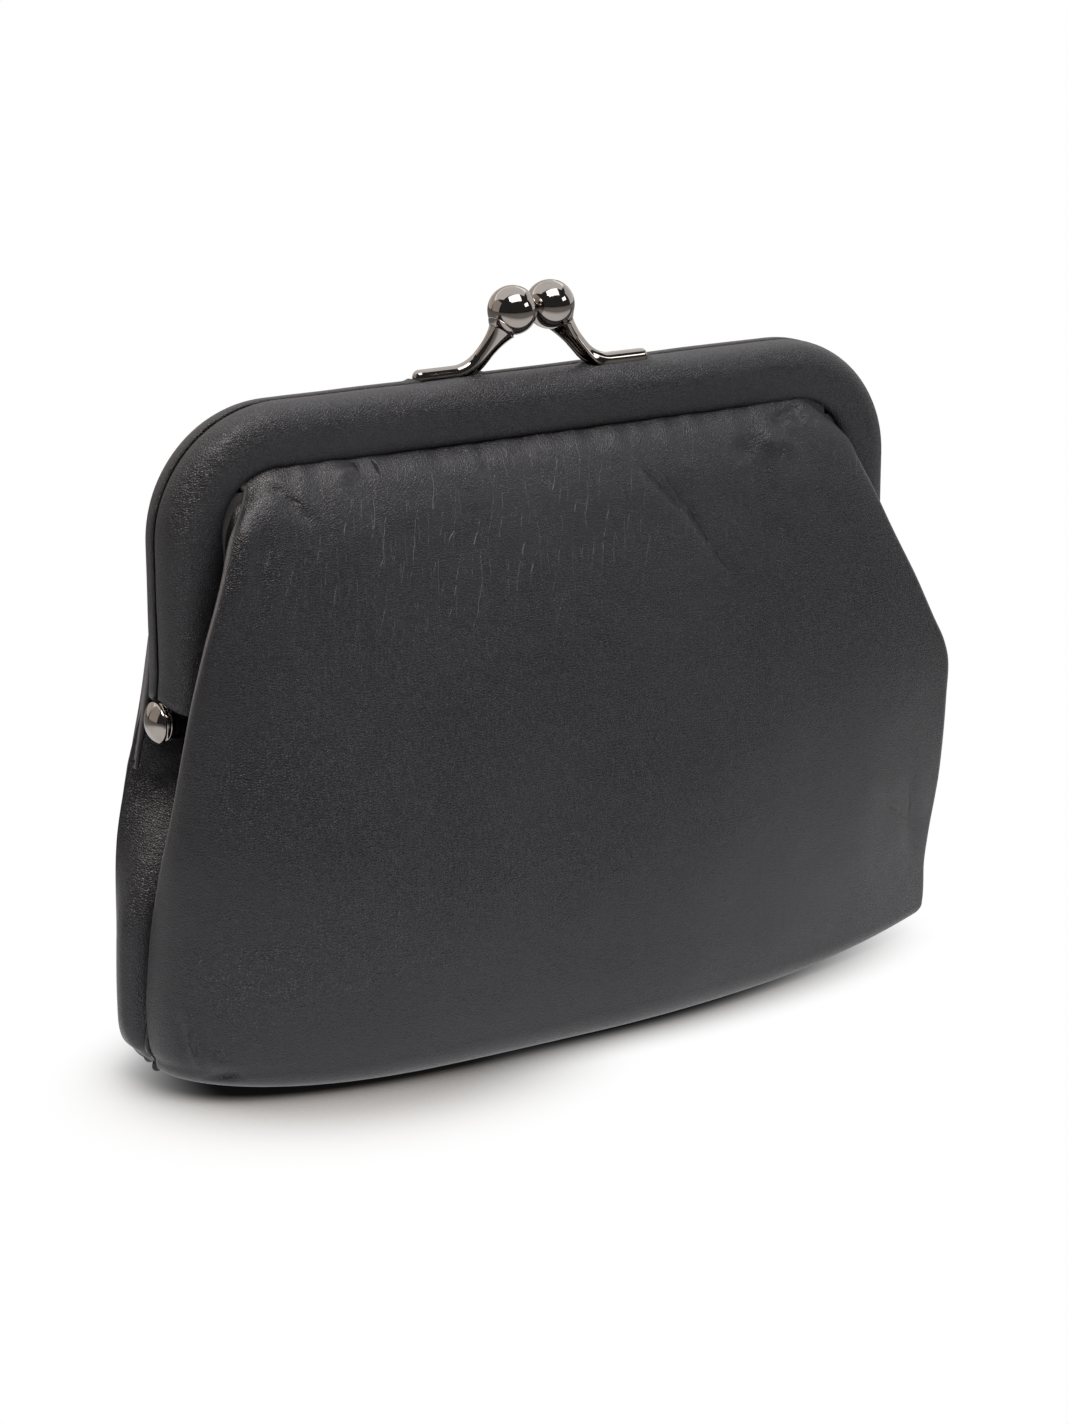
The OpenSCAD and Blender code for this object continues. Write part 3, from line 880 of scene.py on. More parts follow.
@dataclass
class Cover:
    """The leather skin of one half of the frame, turned over its pressed core."""

    arch: Arch
    half: Half
    band: float = 9.9
    crown: float = 5.0
    front: float = 5.8
    back: float = 0.9
    lip: float = 4.0
    leather: float = 0.8
    leg_end: float = 62.3
    top_steps: int = 150
    front_power: float = 2.4
    lip_power: float = 2.6

    def _curve(self, inset: float, steps: int) -> list[tuple[float, float]]:
        """The section's crowned line from the parting edge to the lip.

        Args:
            inset: how far inside the outer face.
            steps: steps on each half of the line.

        Returns:
            Points of (reach, depth).
        """
        depth = self.front - self.back - inset
        points = []
        for i in range(steps + 1):
            a = math.pi / 2 * i / steps
            reach = self.crown - (self.crown - inset) * max(math.cos(a), 0.0) ** (2 / self.front_power)
            points.append((reach, self.back + depth * math.sin(a) ** (2 / self.front_power)))
        fall = self.front - self.lip - inset
        for i in range(1, steps + 1):
            a = math.pi / 2 * i / steps
            reach = self.crown + (self.band - self.crown - inset) * math.sin(a) ** (2 / self.lip_power)
            points.append((reach, self.lip + fall * max(math.cos(a), 0.0) ** (2 / self.lip_power)))
        return points

    def _outline(self) -> list[tuple[float, float]]:
        """The leather's closed section, round at both edges.

        Returns:
            Points of (reach, depth).
        """
        outer, inner = self._curve(0.0, 13), self._curve(self.leather, 9)
        r = self.leather / 2

        def edge(centre: float, depth: float) -> list[tuple[float, float]]:
            """Half round edge of the leather."""
            turns = [math.pi * k / 5 for k in range(1, 5)]
            return [(centre + r * math.cos(a), depth - r * math.sin(a)) for a in turns]

        lip_edge = edge(outer[-1][0] - r, self.lip)
        part_edge = edge(r, self.back)
        return outer + lip_edge + inner[::-1] + part_edge

    def _shape(self, at: Vector) -> Vector:
        """Moves a point of the plain sweep to where the worked leather lies.

        Args:
            at: the point.

        Returns:
            Its new place.
        """
        reach, nx, nz, turn = self.arch.locate(at.x, at.z)
        depth = abs(at.y)
        corner = math.sin(math.pi * turn) if 0 < turn < 1 else 0.0
        inward = max(reach - self.crown, 0.0) / (self.band - self.crown)
        out = 0.75 * corner * inward
        end = 1 - ramp(at.z, self.leg_end - 0.5, self.leg_end + 5.5) if turn >= 1 else 0.0
        out -= 0.25 * end * inward
        swell = 0.1 * ripple(at, 9.0, 3.0 if self.half is Half.FRONT else 8.0)
        moved = Vector((at.x + nx * (out + swell), at.y, at.z + nz * (out + swell)))
        moved.y += self.half.value * (0.12 * ripple(at, 14.0, 5.0) - 0.35 * end * inward)
        if turn >= 1:
            slope = 0.22 * reach + 1.15 * ramp(depth, 1.0, self.front)
            moved.z -= slope * (1 - ramp(at.z, self.leg_end, self.leg_end + 9))
            lean = 1 - ramp(at.z, self.leg_end, self.leg_end + 6)
            moved.x += nx * 0.35 * lean * lean * (1 - min(reach / 2, 1.0))
        return moved

    def _cap(self, bm: bmesh.types.BMesh, side: Side) -> None:
        """Closes a leg's end with leather folded in over the core.

        Args:
            bm: the skin's bmesh.
            side: which leg.
        """
        section = self._curve(0.12, 13)
        edge = self.arch.half_width
        plain = [Vector((side.value * (edge - r), d * self.half.value, self.leg_end)) for r, d in section]
        ring = [self._shape(p) for p in plain]
        middle = sum(ring, Vector((0, 0, 0))) / len(ring)
        rings = [ring]
        for shrink, drop in ((0.97, 0.25), (0.88, 0.5), (0.7, 0.66), (0.4, 0.72), (0.02, 0.74)):
            rings.append([middle + (p - middle) * shrink - Vector((0, 0, drop)) for p in ring])
        ends = thread(bm, rings)
        bmesh.ops.contextual_create(bm, geom=ends[1])

    def build(
        self, material: bpy.types.Material, feet: Sequence[tuple[Vector, Vector]]
    ) -> bpy.types.Object:
        """Builds the skin.

        Args:
            material: its leather.
            feet: the clasp arms' feet on this half, each as two points of its centre line.

        Returns:
            The piece.
        """
        bm = bmesh.new()
        outline = [(r, d * self.half.value) for r, d in self._outline()]
        first, last = self.arch.sweep(bm, outline, self.leg_end, self.top_steps)
        bmesh.ops.contextual_create(bm, geom=first)
        bmesh.ops.contextual_create(bm, geom=last)
        for v in bm.verts:
            v.co = self._shape(v.co)
        for side in Side:
            self._cap(bm, side)
        bmesh.ops.recalc_face_normals(bm, faces=bm.faces)

        def lip(at: Vector) -> float:
            """Raises the leather in a lip round each foot, and sinks it under the foot.

            Args:
                at: a place on the skin.

            Returns:
                How far it moves in.
            """
            push = 0.0
            for a, b in feet:
                line = b - a
                t = min(max((at - a).dot(line) / line.length_squared, 0.0), 1.0)
                near = a + line * t
                off = math.hypot((at - near).x, (at - near).y)
                if abs(at.z - self.arch.top) < 1.2:
                    push -= 0.32 * bump(off, 1.75, 0.45)
                    push += 0.4 * bump(off, 0.0, 0.9)
            return push

        sculpt(bm, lip)
        piece = finish_mesh(bm, f"{self.half.word}_cover_skin", material)
        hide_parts(f"{self.half.word}_cover_leather")
        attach(piece, self.half.body)
        return piece


@dataclass
class Rivet:
    """A domed hinge rivet with its shank and spread tail."""

    side: Side
    head_r: float = 3.4
    shank_r: float = 1.2
    tail_r: float = 2.0
    dome: float = 1.4
    rim: float = 0.5
    tail: float = 0.7
    hinge_z: float = 58.3

    def build(self, material: bpy.types.Material) -> bpy.types.Object:
        """Spins the rivet about the hinge axis and gives the piece.

        Args:
            material: its finish.

        Returns:
            The piece.
        """
        low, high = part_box(f"{self.side.word}_rivet")
        near, far = sorted((abs(low.x) / MM, abs(high.x) / MM))
        shaft = far - self.dome - self.rim
        seat = shaft + 1.5
        ball = (self.head_r**2 + self.dome**2) / (2 * self.dome)
        points = [(near, 0.0), (near, self.tail_r - 0.15), (near + 0.15, self.tail_r)]
        points += [(near + self.tail - 0.1, self.tail_r), (near + self.tail, self.tail_r - 0.12)]
        points += [(near + self.tail, self.shank_r), (shaft + 0.1, self.shank_r)]
        points += [(shaft + 0.1, 2.9), (shaft + 0.18, 3.0), (shaft + 0.62, 3.0), (shaft + 0.7, 2.9)]
        points += [(shaft + 0.7, 2.3), (seat, 2.3), (seat, self.head_r - 0.16)]
        points += [(seat + 0.05, self.head_r - 0.05), (seat + 0.16, self.head_r)]
        points += [(seat + self.rim - 0.12, self.head_r), (seat + self.rim, self.head_r - 0.06)]
        steps = 18
        for i in range(1, steps + 1):
            r = (self.head_r - 0.1) * math.cos(math.pi / 2 * i / steps)
            lift = math.sqrt(ball**2 - r**2) - (ball - self.dome)
            points.append((seat + self.rim + lift, max(r, 0.0)))
        bm = bmesh.new()
        line = [Vector((self.side.value * x, 0, self.hinge_z + r)) for x, r in points]
        edges = draw_loop(bm, line, closed=False)
        bmesh.ops.spin(
            bm,
            geom=edges + list(bm.verts),
            cent=(0, 0, self.hinge_z),
            axis=(1, 0, 0),
            dvec=(0, 0, 0),
            angle=math.tau,
            steps=72,
            use_merge=True,
        )
        bmesh.ops.remove_doubles(bm, verts=bm.verts, dist=0.001)
        piece = finish_mesh(bm, f"{self.side.word}_rivet_turned", material)
        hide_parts(f"{self.side.word}_rivet")
        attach(piece, "back_frame")
        return piece


@dataclass
class Clasp:
    """One clasp arm with its ball, for the front half; the back half's is turned round."""

    arch: Arch
    half: Half
    ball_r: float = 4.0
    ball_x: float = 4.03
    ball_past: float = 0.75
    ball_rise: float = 9.9
    arm_r: float = 1.2
    sheet: float = 0.45
    proud: float = 1.5
    rise: float = 55.0
    bend: float = 5.6
    foot: float = 6.3
    arm_y: float = 1.7
    twist: float = 34.0
    cup_reach: float = 3.62
    pole_lean: float = 38.0

    @property
    def line_z(self) -> float:
        """Height of the foot's centre line."""
        return self.arch.top + self.proud - self.arm_r

    @property
    def ball(self) -> Vector:
        """Centre of the front half's ball."""
        return Vector((self.ball_x, self.ball_past, self.arch.top + self.ball_rise))

    @property
    def bend_x(self) -> float:
        """Where the foot starts to bend up.

        Returns:
            The place across.
        """
        a = math.radians(self.rise)
        climb = self.ball.z - self.line_z
        return self.ball_x + climb / math.tan(a) + self.bend * math.tan(a / 2)

    @property
    def foot_line(self) -> tuple[Vector, Vector]:
        """Two ends of the foot's centre line, on this half.

        Returns:
            The two places.
        """
        turn = -self.half.value
        a = Vector((self.bend_x - self.bend * 0.55, -self.arm_y, self.arch.top))
        b = Vector((self.bend_x + self.foot, -self.arm_y, self.arch.top))
        return tuple(Vector((p.x * turn, p.y * turn, p.z)) for p in (a, b))

    def _stations(self) -> list[tuple[Vector, float, float, float, float]]:
        """Places along the arm: centre, heading, radius, skirt, twist.

        Returns:
            The stations, from the foot to the ball.
        """
        rise = math.radians(self.rise)
        climb = self.ball.z - self.line_z
        run = climb / math.sin(rise) - self.bend * math.tan(rise / 2) - self.cup_reach
        out = []
        end_x = self.bend_x + self.foot
        for i in range(9):
            b = math.radians(88) * (1 - i / 8)
            centre = Vector((end_x + self.arm_r * 0.9 * math.sin(b), 0, 0))
            out.append((centre, 0.0, max(math.cos(b), 0.04), 1.1, 0.0))
        for i in range(1, 5):
            out.append((Vector((mix(end_x, self.bend_x, i / 5), 0, 0)), 0.0, 1.0, 1.1, 0.0))
        for i in range(0, 17):
            a = rise * i / 16
            centre = Vector((self.bend_x - self.bend * math.sin(a), 0, self.bend * (1 - math.cos(a))))
            out.append((centre, a, 1.0, mix(1.1, 1.0, i / 16), ramp(i / 16, 0.1, 1.0)))
        knee = out[-1][0]
        for i in range(1, 15):
            k = i / 14
            centre = knee + Vector((-math.cos(rise), 0, math.sin(rise))) * run * k
            out.append((centre, rise, mix(1.0, 1.75, k**2.6), mix(1.0, 1.15, k), 1.0))
        top = out[-1][0].z
        lean = (self.arm_y + self.ball_past) / top
        moved = []
        for centre, heading, size, skirt, twist in out:
            place = centre + Vector((0, centre.z * lean - self.arm_y, self.line_z))
            moved.append((place, heading, size * self.arm_r, skirt, twist * self.twist))
        return moved

    @staticmethod
    def _fan(steps: int) -> list[float]:
        """Angles from the crown of the section to its edges, in radians."""
        return [math.radians(-112 + 224 * i / steps) for i in range(steps + 1)]

    def _ring(self, station: tuple, inset: float, fan: Sequence[float]) -> list[Vector]:
        """Points of the section at a station, from one edge over the crown to the other.

        Args:
            station: a place along the arm.
            inset: how far inside the outer face.
            fan: angles of the points.

        Returns:
            The points.
        """
        place, heading, r, skirt, twist = station
        up = Vector((math.sin(heading), 0, math.cos(heading)))
        along = Vector((-math.cos(heading), 0, math.sin(heading)))
        spin = Matrix.Rotation(math.radians(twist), 3, along)
        points = []
        for a in fan:
            across, rise = math.sin(a) * (r - inset), math.cos(a) * (r - inset)
            if abs(a) > math.pi / 2:
                over = (abs(a) - math.pi / 2) / math.radians(22)
                across, rise = math.copysign(r - inset, a), -skirt * over
            points.append(place + spin @ (up * rise + Vector((0, across, 0))))
        return points

    def _cup(self, station: tuple, wrap: float, gap: float, fan: Sequence[float]) -> list[Vector]:
        """Points of the section where it wraps the ball.

        Args:
            station: the arm's last place.
            wrap: share of the cup, 0 at its neck and 1 at its rim.
            gap: distance off the ball.
            fan: angles of the points.

        Returns:
            The points.
        """
        heading, twist = station[1], station[4]
        up = Vector((math.sin(heading), 0, math.cos(heading)))
        along = Vector((-math.cos(heading), 0, math.sin(heading)))
        spin = Matrix.Rotation(math.radians(twist), 3, along)
        points = []
        for a in fan:
            reach = mix(31.0, 47.0, 0.5 + 0.5 * math.cos(a * 1.4))
            theta = math.radians(mix(28.0, reach, wrap))
            side = spin @ (up * math.cos(a) + Vector((0, math.sin(a), 0)))
            away = side * math.sin(theta) - along * math.cos(theta)
            points.append(self.ball + away * (self.ball_r + gap))
        return points

    def build(self, material: bpy.types.Material) -> list[bpy.types.Object]:
        """Builds the arm and its ball and gives both pieces.

        Args:
            material: its finish.

        Returns:
            The arm and the ball.
        """
        fan = self._fan(28)
        rings = []
        stations = self._stations()
        for station in stations:
            inset = min(self.sheet, station[2] * 0.5)
            inner = self._ring(station, inset, fan)
            rings.append(self._ring(station, 0.0, fan) + inner[::-1])
        for i in range(1, 9):
            wrap = (i / 8) ** 0.9
            outer = self._cup(stations[-1], wrap, mix(0.42, 0.16, wrap), fan)
            inner = self._cup(stations[-1], wrap, 0.02, fan)
            rings.append(outer + inner[::-1])
        bm = bmesh.new()
        ends = thread(bm, rings)
        for end in ends:
            bmesh.ops.contextual_create(bm, geom=end)
        ball = bmesh.new()
        bmesh.ops.create_uvsphere(ball, u_segments=96, v_segments=64, radius=self.ball_r)
        lean = Matrix.Rotation(math.radians(self.pole_lean), 3, "Y")
        bmesh.ops.rotate(ball, cent=(0, 0, 0), matrix=lean, verts=ball.verts)
        bmesh.ops.translate(ball, vec=self.ball, verts=ball.verts)
        pieces = []
        for shape, word in ((bm, "arm"), (ball, "ball")):
            if self.half is Half.BACK:
                half_turn = Matrix.Rotation(math.pi, 3, "Z")
                bmesh.ops.rotate(shape, cent=(0, 0, 0), matrix=half_turn, verts=shape.verts)
            piece = finish_mesh(shape, f"{self.half.word}_clasp_{word}_bright", material)
            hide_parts(f"{self.half.word}_clasp_{word}")
            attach(piece, self.half.body)
            pieces.append(piece)
        return pieces


# The pouch


@dataclass(frozen=True)
class Ridge:
    """One side edge of a panel, by height in millimetres."""

    x: Track
    y: Track
    power: Track
    root: Track


LEFT_FRONT = Ridge(
    x=Track(((2.5, 72.4), (6, 75.0), (9, 75.7), (13.4, 75.9), (18.4, 75.5), (24, 74.9), (31, 74.1),
             (38.5, 72.9), (47, 70.9), (56, 69.0), (63, 67.6), (70, 65.9), (76, 64.0), (82, 61.7),
             (88, 59.2), (93.9, 55.4))),
    y=Track(((2.5, 4.6), (12, 4.8), (24, 4.7), (31, 5.6), (38.5, 6.8), (47, 7.5), (56, 8.1),
             (63, 8.8), (70, 9.5), (76, 9.9), (82, 9.5), (88, 8.3), (93.9, 5.2))),
    power=Track(((2, 3.5), (25, 3.2), (50, 2.7), (75, 2.5), (94, 2.6))),
    root=Track(((2, 2.0), (25, 1.9), (50, 1.7), (75, 1.6), (94, 1.5))),
)
RIGHT_FRONT = Ridge(
    x=Track(((2.5, 74.4), (5, 76.3), (12.8, 76.0), (21, 76.2), (30, 76.6), (43, 76.8), (49.4, 76.9),
             (53.3, 75.8), (57.6, 73.6), (66, 69.5), (73.4, 66.0), (82, 62.2), (86, 60.3), (89.7, 58.5),
             (93.9, 55.4))),
    y=Track(((2.5, 8.8), (12.8, 9.6), (21, 10.8), (30, 12.1), (43, 13.4), (53, 13.6), (60, 13.5),
             (66, 13.1), (73, 12.0), (82, 9.9), (86, 8.9), (90, 7.6), (93.9, 5.2))),
    power=Track(((2, 1.75), (25, 1.8), (50, 2.0), (75, 2.3), (94, 2.6))),
    root=Track(((2, 1.0), (50, 1.05), (75, 1.2), (94, 1.4))),
)
LEFT_BACK = Ridge(
    x=Track(((2.5, 72.2), (6.9, 75.2), (13, 75.7), (24, 75.6), (32, 74.8), (40, 73.6), (50.7, 71.4),
             (59, 69.2), (69, 66.4), (76, 64.2), (82, 62.0), (88, 59.4), (93.9, 55.4))),
    y=Track(((2.5, 5.4), (8, 4.9), (24, 4.9), (32, 5.9), (40, 7.0), (50, 7.7), (59, 8.4), (69, 9.5),
             (76, 9.9), (82, 9.5), (88, 8.3), (93.9, 5.2))),
    power=Track(((2, 2.8), (50, 2.6), (94, 2.6))),
    root=Track(((2, 1.8), (50, 1.7), (94, 1.5))),
)
RIGHT_BACK = Ridge(
    x=Track(((2.5, 73.4), (6, 75.4), (13, 75.9), (24, 76.0), (38, 75.6), (47, 74.4), (56, 71.6),
             (66, 68.0), (76, 64.3), (82, 62.0), (88, 59.4), (93.9, 55.4))),
    y=Track(((2.5, 8.2), (13, 8.6), (24, 9.2), (38, 10.4), (50, 11.2), (60, 11.6), (70, 11.2),
             (76, 10.7), (82, 9.7), (88, 8.4), (93.9, 5.2))),
    power=Track(((2, 2.4), (50, 2.3), (94, 2.6))),
    root=Track(((2, 1.5), (50, 1.4), (94, 1.5))),
)
BELLY = Track(((2, 24.0), (5, 24.5), (12, 24.9), (25, 24.1), (40, 21.8), (53, 19.0), (64, 16.6),
               (74, 14.2), (80, 12.7), (88, 10.4), (92, 8.8), (94.4, 7.5), (96.0, 5.9), (97.0, 4.4),
               (97.6, 3.3)))


@dataclass
class Panel:
    """A panel of the pouch with its half of the base, rolled over at both side edges."""

    arch: Arch
    half: Half
    fold: float = 5.0
    lift: float = 2.0
    lip_reach: float = 9.2
    roll: float = 1.25
    main_steps: int = 220
    roll_steps: int = 7
    base_rows: int = 12
    fold_rows: int = 16
    rise_rows: int = 148
    tuck_rows: int = 3
    lip_x: float = 55.4
    base_at: float = 2.5
    base_in: float = 0.6
    edge_low: float = 5.0
    edge_top: float = 93.9
    belly_top: float = 97.6
    least_depth: float = 0.3
    roll_turn: float = 150.0
    wall: float = 0.9
    lining_wall: float = 0.25
    lining_lift: float = 1.35

    def ridge(self, side: Side) -> Ridge:
        """The side edge on one end.

        Args:
            side: which end.

        Returns:
            The edge's tracks.
        """
        table = {
            (Half.FRONT, Side.LEFT): LEFT_FRONT,
            (Half.FRONT, Side.RIGHT): RIGHT_FRONT,
            (Half.BACK, Side.LEFT): LEFT_BACK,
            (Half.BACK, Side.RIGHT): RIGHT_BACK,
        }
        return table[(self.half, side)]

    def edge(self, side: Side, z: float) -> tuple[float, float]:
        """Distance from the middle and depth of the side edge's crest at a height.

        Args:
            side: which end.
            z: height.

        Returns:
            The distance and the depth.
        """
        ridge, lift, fold = self.ridge(side), self._lift(1.0), self._fold(1.0)
        if z >= lift + fold:
            return ridge.x.at(z), ridge.y.at(z)
        turn = math.sqrt(max(1 - (1 - (z - lift) / fold) ** 2, 0.0)) if z > lift else 0.0
        low = ridge.y.at(self.edge_low)
        x = mix(ridge.x.at(self.base_at) - self.base_in, ridge.x.at(self.edge_low), turn)
        return x, mix(max(low - fold, self.least_depth), low, turn)

    def _lift(self, s: float) -> float:
        """How far the base is off the table at a share of the half width."""
        return self.lift * (max(abs(s) - 0.45, 0.0) / 0.55) ** 2

    def _fold(self, s: float) -> float:
        """Radius of the bottom fold."""
        return self.fold * (1 - 0.42 * s * s)

    def _across(self, s: float, station: float, middle_station: float) -> tuple[float, float]:
        """Place across and depth of the panel's face for a share s and a height on its tracks.

        Args:
            s: share of the half width, from -1 to 1.
            station: height on the side edge's tracks.
            middle_station: height on the middle's track.

        Returns:
            The place across and the depth.
        """
        ridge = self.ridge(Side.RIGHT if s >= 0 else Side.LEFT)
        edge_y = ridge.y.at(station)
        share = max(1 - abs(s) ** ridge.power.at(station), 0.0) ** (1 / ridge.root.at(station))
        depth = edge_y + (BELLY.at(middle_station) - edge_y) * share
        return s * (ridge.x.at(station) - self.roll), depth

    def point(self, s: float, row: float) -> Vector:
        """Place of the panel's face, without its rolled edges.

        Args:
            s: share of the half width, from -1 to 1.
            row: row, from 0 at the middle of the base to the tuck inside the frame.

        Returns:
            The place in millimetres.
        """
        y_sign = self.half.value
        lift, fold = self._lift(s), self._fold(s)
        x_low, y_low = self._across(s, self.edge_low, self.edge_low)
        foot = max(y_low - fold, self.least_depth)
        ridge = self.ridge(Side.RIGHT if s >= 0 else Side.LEFT)
        x_base = s * (ridge.x.at(self.base_at) - self.base_in - self.roll)
        if row < self.base_rows:
            sag = 0.0 if abs(s) < 0.5 else 0.3 * math.sin(math.pi * row / self.base_rows)
            return Vector((x_base, y_sign * foot * row / self.base_rows, lift + sag * (abs(s) - 0.5)))
        row -= self.base_rows
        if row < self.fold_rows:
            a = math.pi / 2 * row / self.fold_rows
            x = mix(x_base, x_low, math.sin(a))
            depth = foot + (y_low - foot) * math.sin(a)
            return Vector((x, y_sign * depth, lift + fold * (1 - math.cos(a))))
        row -= self.fold_rows
        low = lift + fold
        if row < self.rise_rows:
            t = row / (self.rise_rows - 1)
            t = mix(t, 1 - (1 - t) ** 1.25, 0.6)
            start = self.edge_low
            on_edge, on_belly = start + (self.edge_top - start) * t, start + (self.belly_top - start) * t
            x, depth = self._across(s, on_edge, on_belly)
            top = self.arch.inner_z(s * self.lip_x, self.lip_reach)
            return Vector((x, y_sign * depth, low + (top - low) * t))
        row -= self.rise_rows - 1
        x = s * (self.lip_x - 0.5 * row)
        return Vector((x, y_sign * (4.6 - 0.35 * row), self.arch.inner_z(x, self.lip_reach - 0.75 * row)))

    def _off_middle(self, at: Vector) -> float:
        """Distance of a place from the middle of the panel's face."""
        return (at - Vector((0, self.half.value * 22, 30))).length

    def creases(self) -> list[Crease]:
        """The folds pressed into the leather.

        Returns:
            The folds, the chosen ones first.
        """
        y = self.half.value
        if self.half is Half.BACK:
            out = [Crease((-52, 8, 93), (-47, 12, 84), 1.1, 0.5), Crease((50, 8, 93), (44, 13, 80), 1.2, 0.5)]
        else:
            out = [
                Crease((-54.2, -5.9, 96.6), (-49.4, -8.0, 93.6), 0.6, 0.8),
                Crease((-50.4, -7.5, 94.4), (-45.6, -9.8, 88.6), 0.9, 0.35),
                Crease((-56.3, -8.0, 92.0), (-59.4, -9.6, 76.0), 1.9, -0.55),
                Crease((-53.4, -8.6, 91.0), (-56.6, -11.4, 74.0), 1.5, 0.4),
                Crease((-40.5, -6.9, 95.4), (-36.0, -6.6, 95.8), 1.1, -0.35),
                Crease((42.4, -7.4, 94.8), (50.2, -5.9, 96.8), 0.8, 0.8),
                Crease((46.0, -7.4, 94.7), (53.8, -6.4, 96.2), 0.6, 0.6),
                Crease((49.6, -7.9, 93.6), (54.8, -6.6, 95.6), 0.6, 0.45),
                Crease((39.0, -8.6, 92.2), (46.0, -8.9, 91.2), 1.8, -0.55),
                Crease((34.0, -9.0, 92.6), (36.4, -10.2, 89.6), 1.5, 0.3),
                Crease((37.0, -8.0, 96.0), (36.0, -12.0, 84.0), 1.2, 0.25),
                Crease((13.8, -9.2, 91.6), (24.6, -12.7, 80.0), 0.9, 0.18),
                Crease((18.0, -9.6, 90.6), (30.6, -15.0, 69.4), 1.0, 0.18),
                Crease((-71.2, -12.4, 3.2), (-64.0, -17.2, 4.1), 0.6, 1.3),
                Crease((-69.5, -13.6, 6.4), (-66.0, -16.4, 6.6), 1.6, -0.5),
                Crease((-73.6, -10.9, 17.0), (-71.1, -12.2, 3.2), 0.8, 0.6),
                Crease((-72.6, -12.0, 18.0), (-70.2, -13.2, 3.6), 0.9, -0.35),
                Crease((-71.4, -13.0, 18.0), (-69.0, -14.2, 3.8), 0.9, 0.4),
                Crease((58.0, -16.9, 30.0), (75.6, -10.6, 18.0), 2.2, 0.35),
                Crease((66.0, -13.9, 34.0), (72.0, -11.8, 12.0), 2.2, 0.3),
            ]
        for i in range(30):
            a, b = noise.cell(Vector((i * 1.7, 3.1, y))), noise.cell(Vector((i * 2.3, 7.7, y)))
            c = noise.cell(Vector((i * 3.1, 1.3, y)))
            x = -53 + 106 * a
            length = 5 + 15 * b
            top = 95.0 - 5.0 * c
            lean = -1.5 + 3.0 * noise.cell(Vector((i * 0.9, 5.3, y)))
            depth_top, depth_low = BELLY.at(top), BELLY.at(top - length)
            out.append(Crease((x, y * depth_top, top), (x + lean, y * depth_low, top - length), 0.75, 0.16))
        return out

    def _push(self, at: Vector, creases: Sequence[Crease]) -> float:
        """How far the worked leather lies in from the plain face.

        Args:
            at: a place on the face.
            creases: the folds.

        Returns:
            The depth.
        """
        low = ramp(at.z, 0.8, 8.0)
        seed = 1.0 if self.half is Half.FRONT else 6.0
        push = low * (0.45 * ripple(at, 30.0, seed) + 0.16 * ripple(at, 11.0, seed + 3))
        near_lip = ramp(at.z, 78.0, 96.0)
        push += near_lip * 0.22 * ripple(Vector((at.x * 3.0, at.y, at.z * 0.6)), 10.0, seed + 5)
        for crease in creases:
            push += crease.push(at)
        return push

    def _rolled(self, side: Side, row: int, turn: float) -> Vector:
        """A point of the rolled side edge, turned by an angle in radians.

        Args:
            side: which end.
            row: row of the panel.
            turn: angle round the roll.

        Returns:
            The place.
        """
        s = float(side.value)
        edge, before = self.point(s, row), self.point(s * 0.992, row)
        last = self.base_rows + self.fold_rows + self.rise_rows + self.tuck_rows - 2
        up = self.point(s, min(row + 1, last)) - self.point(s, max(row - 1, 0))
        up.normalize()
        along = edge - before
        along = (along - up * along.dot(up)).normalized()
        out = along.cross(up)
        if out.dot(Vector((0, self.half.value, -0.6))) < 0:
            out.negate()
        centre = edge - out * self.roll
        return centre + out * self.roll * math.cos(turn) + along * self.roll * math.sin(turn)

    def build(self, material: bpy.types.Material) -> bpy.types.Object:
        """Builds the panel and gives the piece.

        Args:
            material: its finish.

        Returns:
            The piece.
        """
        edge = self.roll_steps
        columns = self.main_steps + 1 + 2 * edge
        rows = self.base_rows + self.fold_rows + self.rise_rows + self.tuck_rows - 1

        def place(i: int, j: int) -> Vector:
            """Place of the point at a column and a row.

            Args:
                i: column.
                j: row.

            Returns:
                The place.
            """
            k = i - edge
            if 0 <= k <= self.main_steps:
                u = 2 * k / self.main_steps - 1
                s = math.copysign(1 - (1 - abs(u)) ** 1.12, u)
                return self.point(s, j)
            side = Side.LEFT if k < 0 else Side.RIGHT
            step = -k if k < 0 else k - self.main_steps
            return self._rolled(side, j, math.radians(self.roll_turn) * step / self.roll_steps)

        bm = grid_piece(columns, rows, place)
        # Painted highlight: the rim attribute marks the rolled side edges, where the leather's colour is
        # turned pale as if the fold caught the light.
        rim = bm.verts.layers.float.new("rim")
        for index, v in enumerate(bm.verts):
            column = index % columns
            turned = edge - min(column, columns - 1 - column)
            v[rim] = bump(turned, 2.5, 1.0) * ramp(v.co.z, 3.0, 9.0)
        face_sheet(bm, self._off_middle, Vector((0, self.half.value, 0)))
        creases = self.creases()
        sculpt(bm, lambda at: self._push(at, creases))
        axes = {"use_axis_x": True, "use_axis_y": True, "use_axis_z": True}
        bmesh.ops.smooth_vert(bm, verts=bm.verts, factor=0.2, **axes)
        for v in bm.verts:
            v.co.z = max(v.co.z, 0.0)
        piece = finish_sheet(bm, f"{self.half.word}_panel_leather", material, self.wall, self.half)
        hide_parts(f"{self.half.word}_panel")
        return piece

    def build_lining(self, material: bpy.types.Material) -> bpy.types.Object:
        """Builds the panel's lining and gives the piece.

        Args:
            material: its finish.

        Returns:
            The piece.
        """
        columns, rows = 61, self.base_rows + self.fold_rows + self.rise_rows

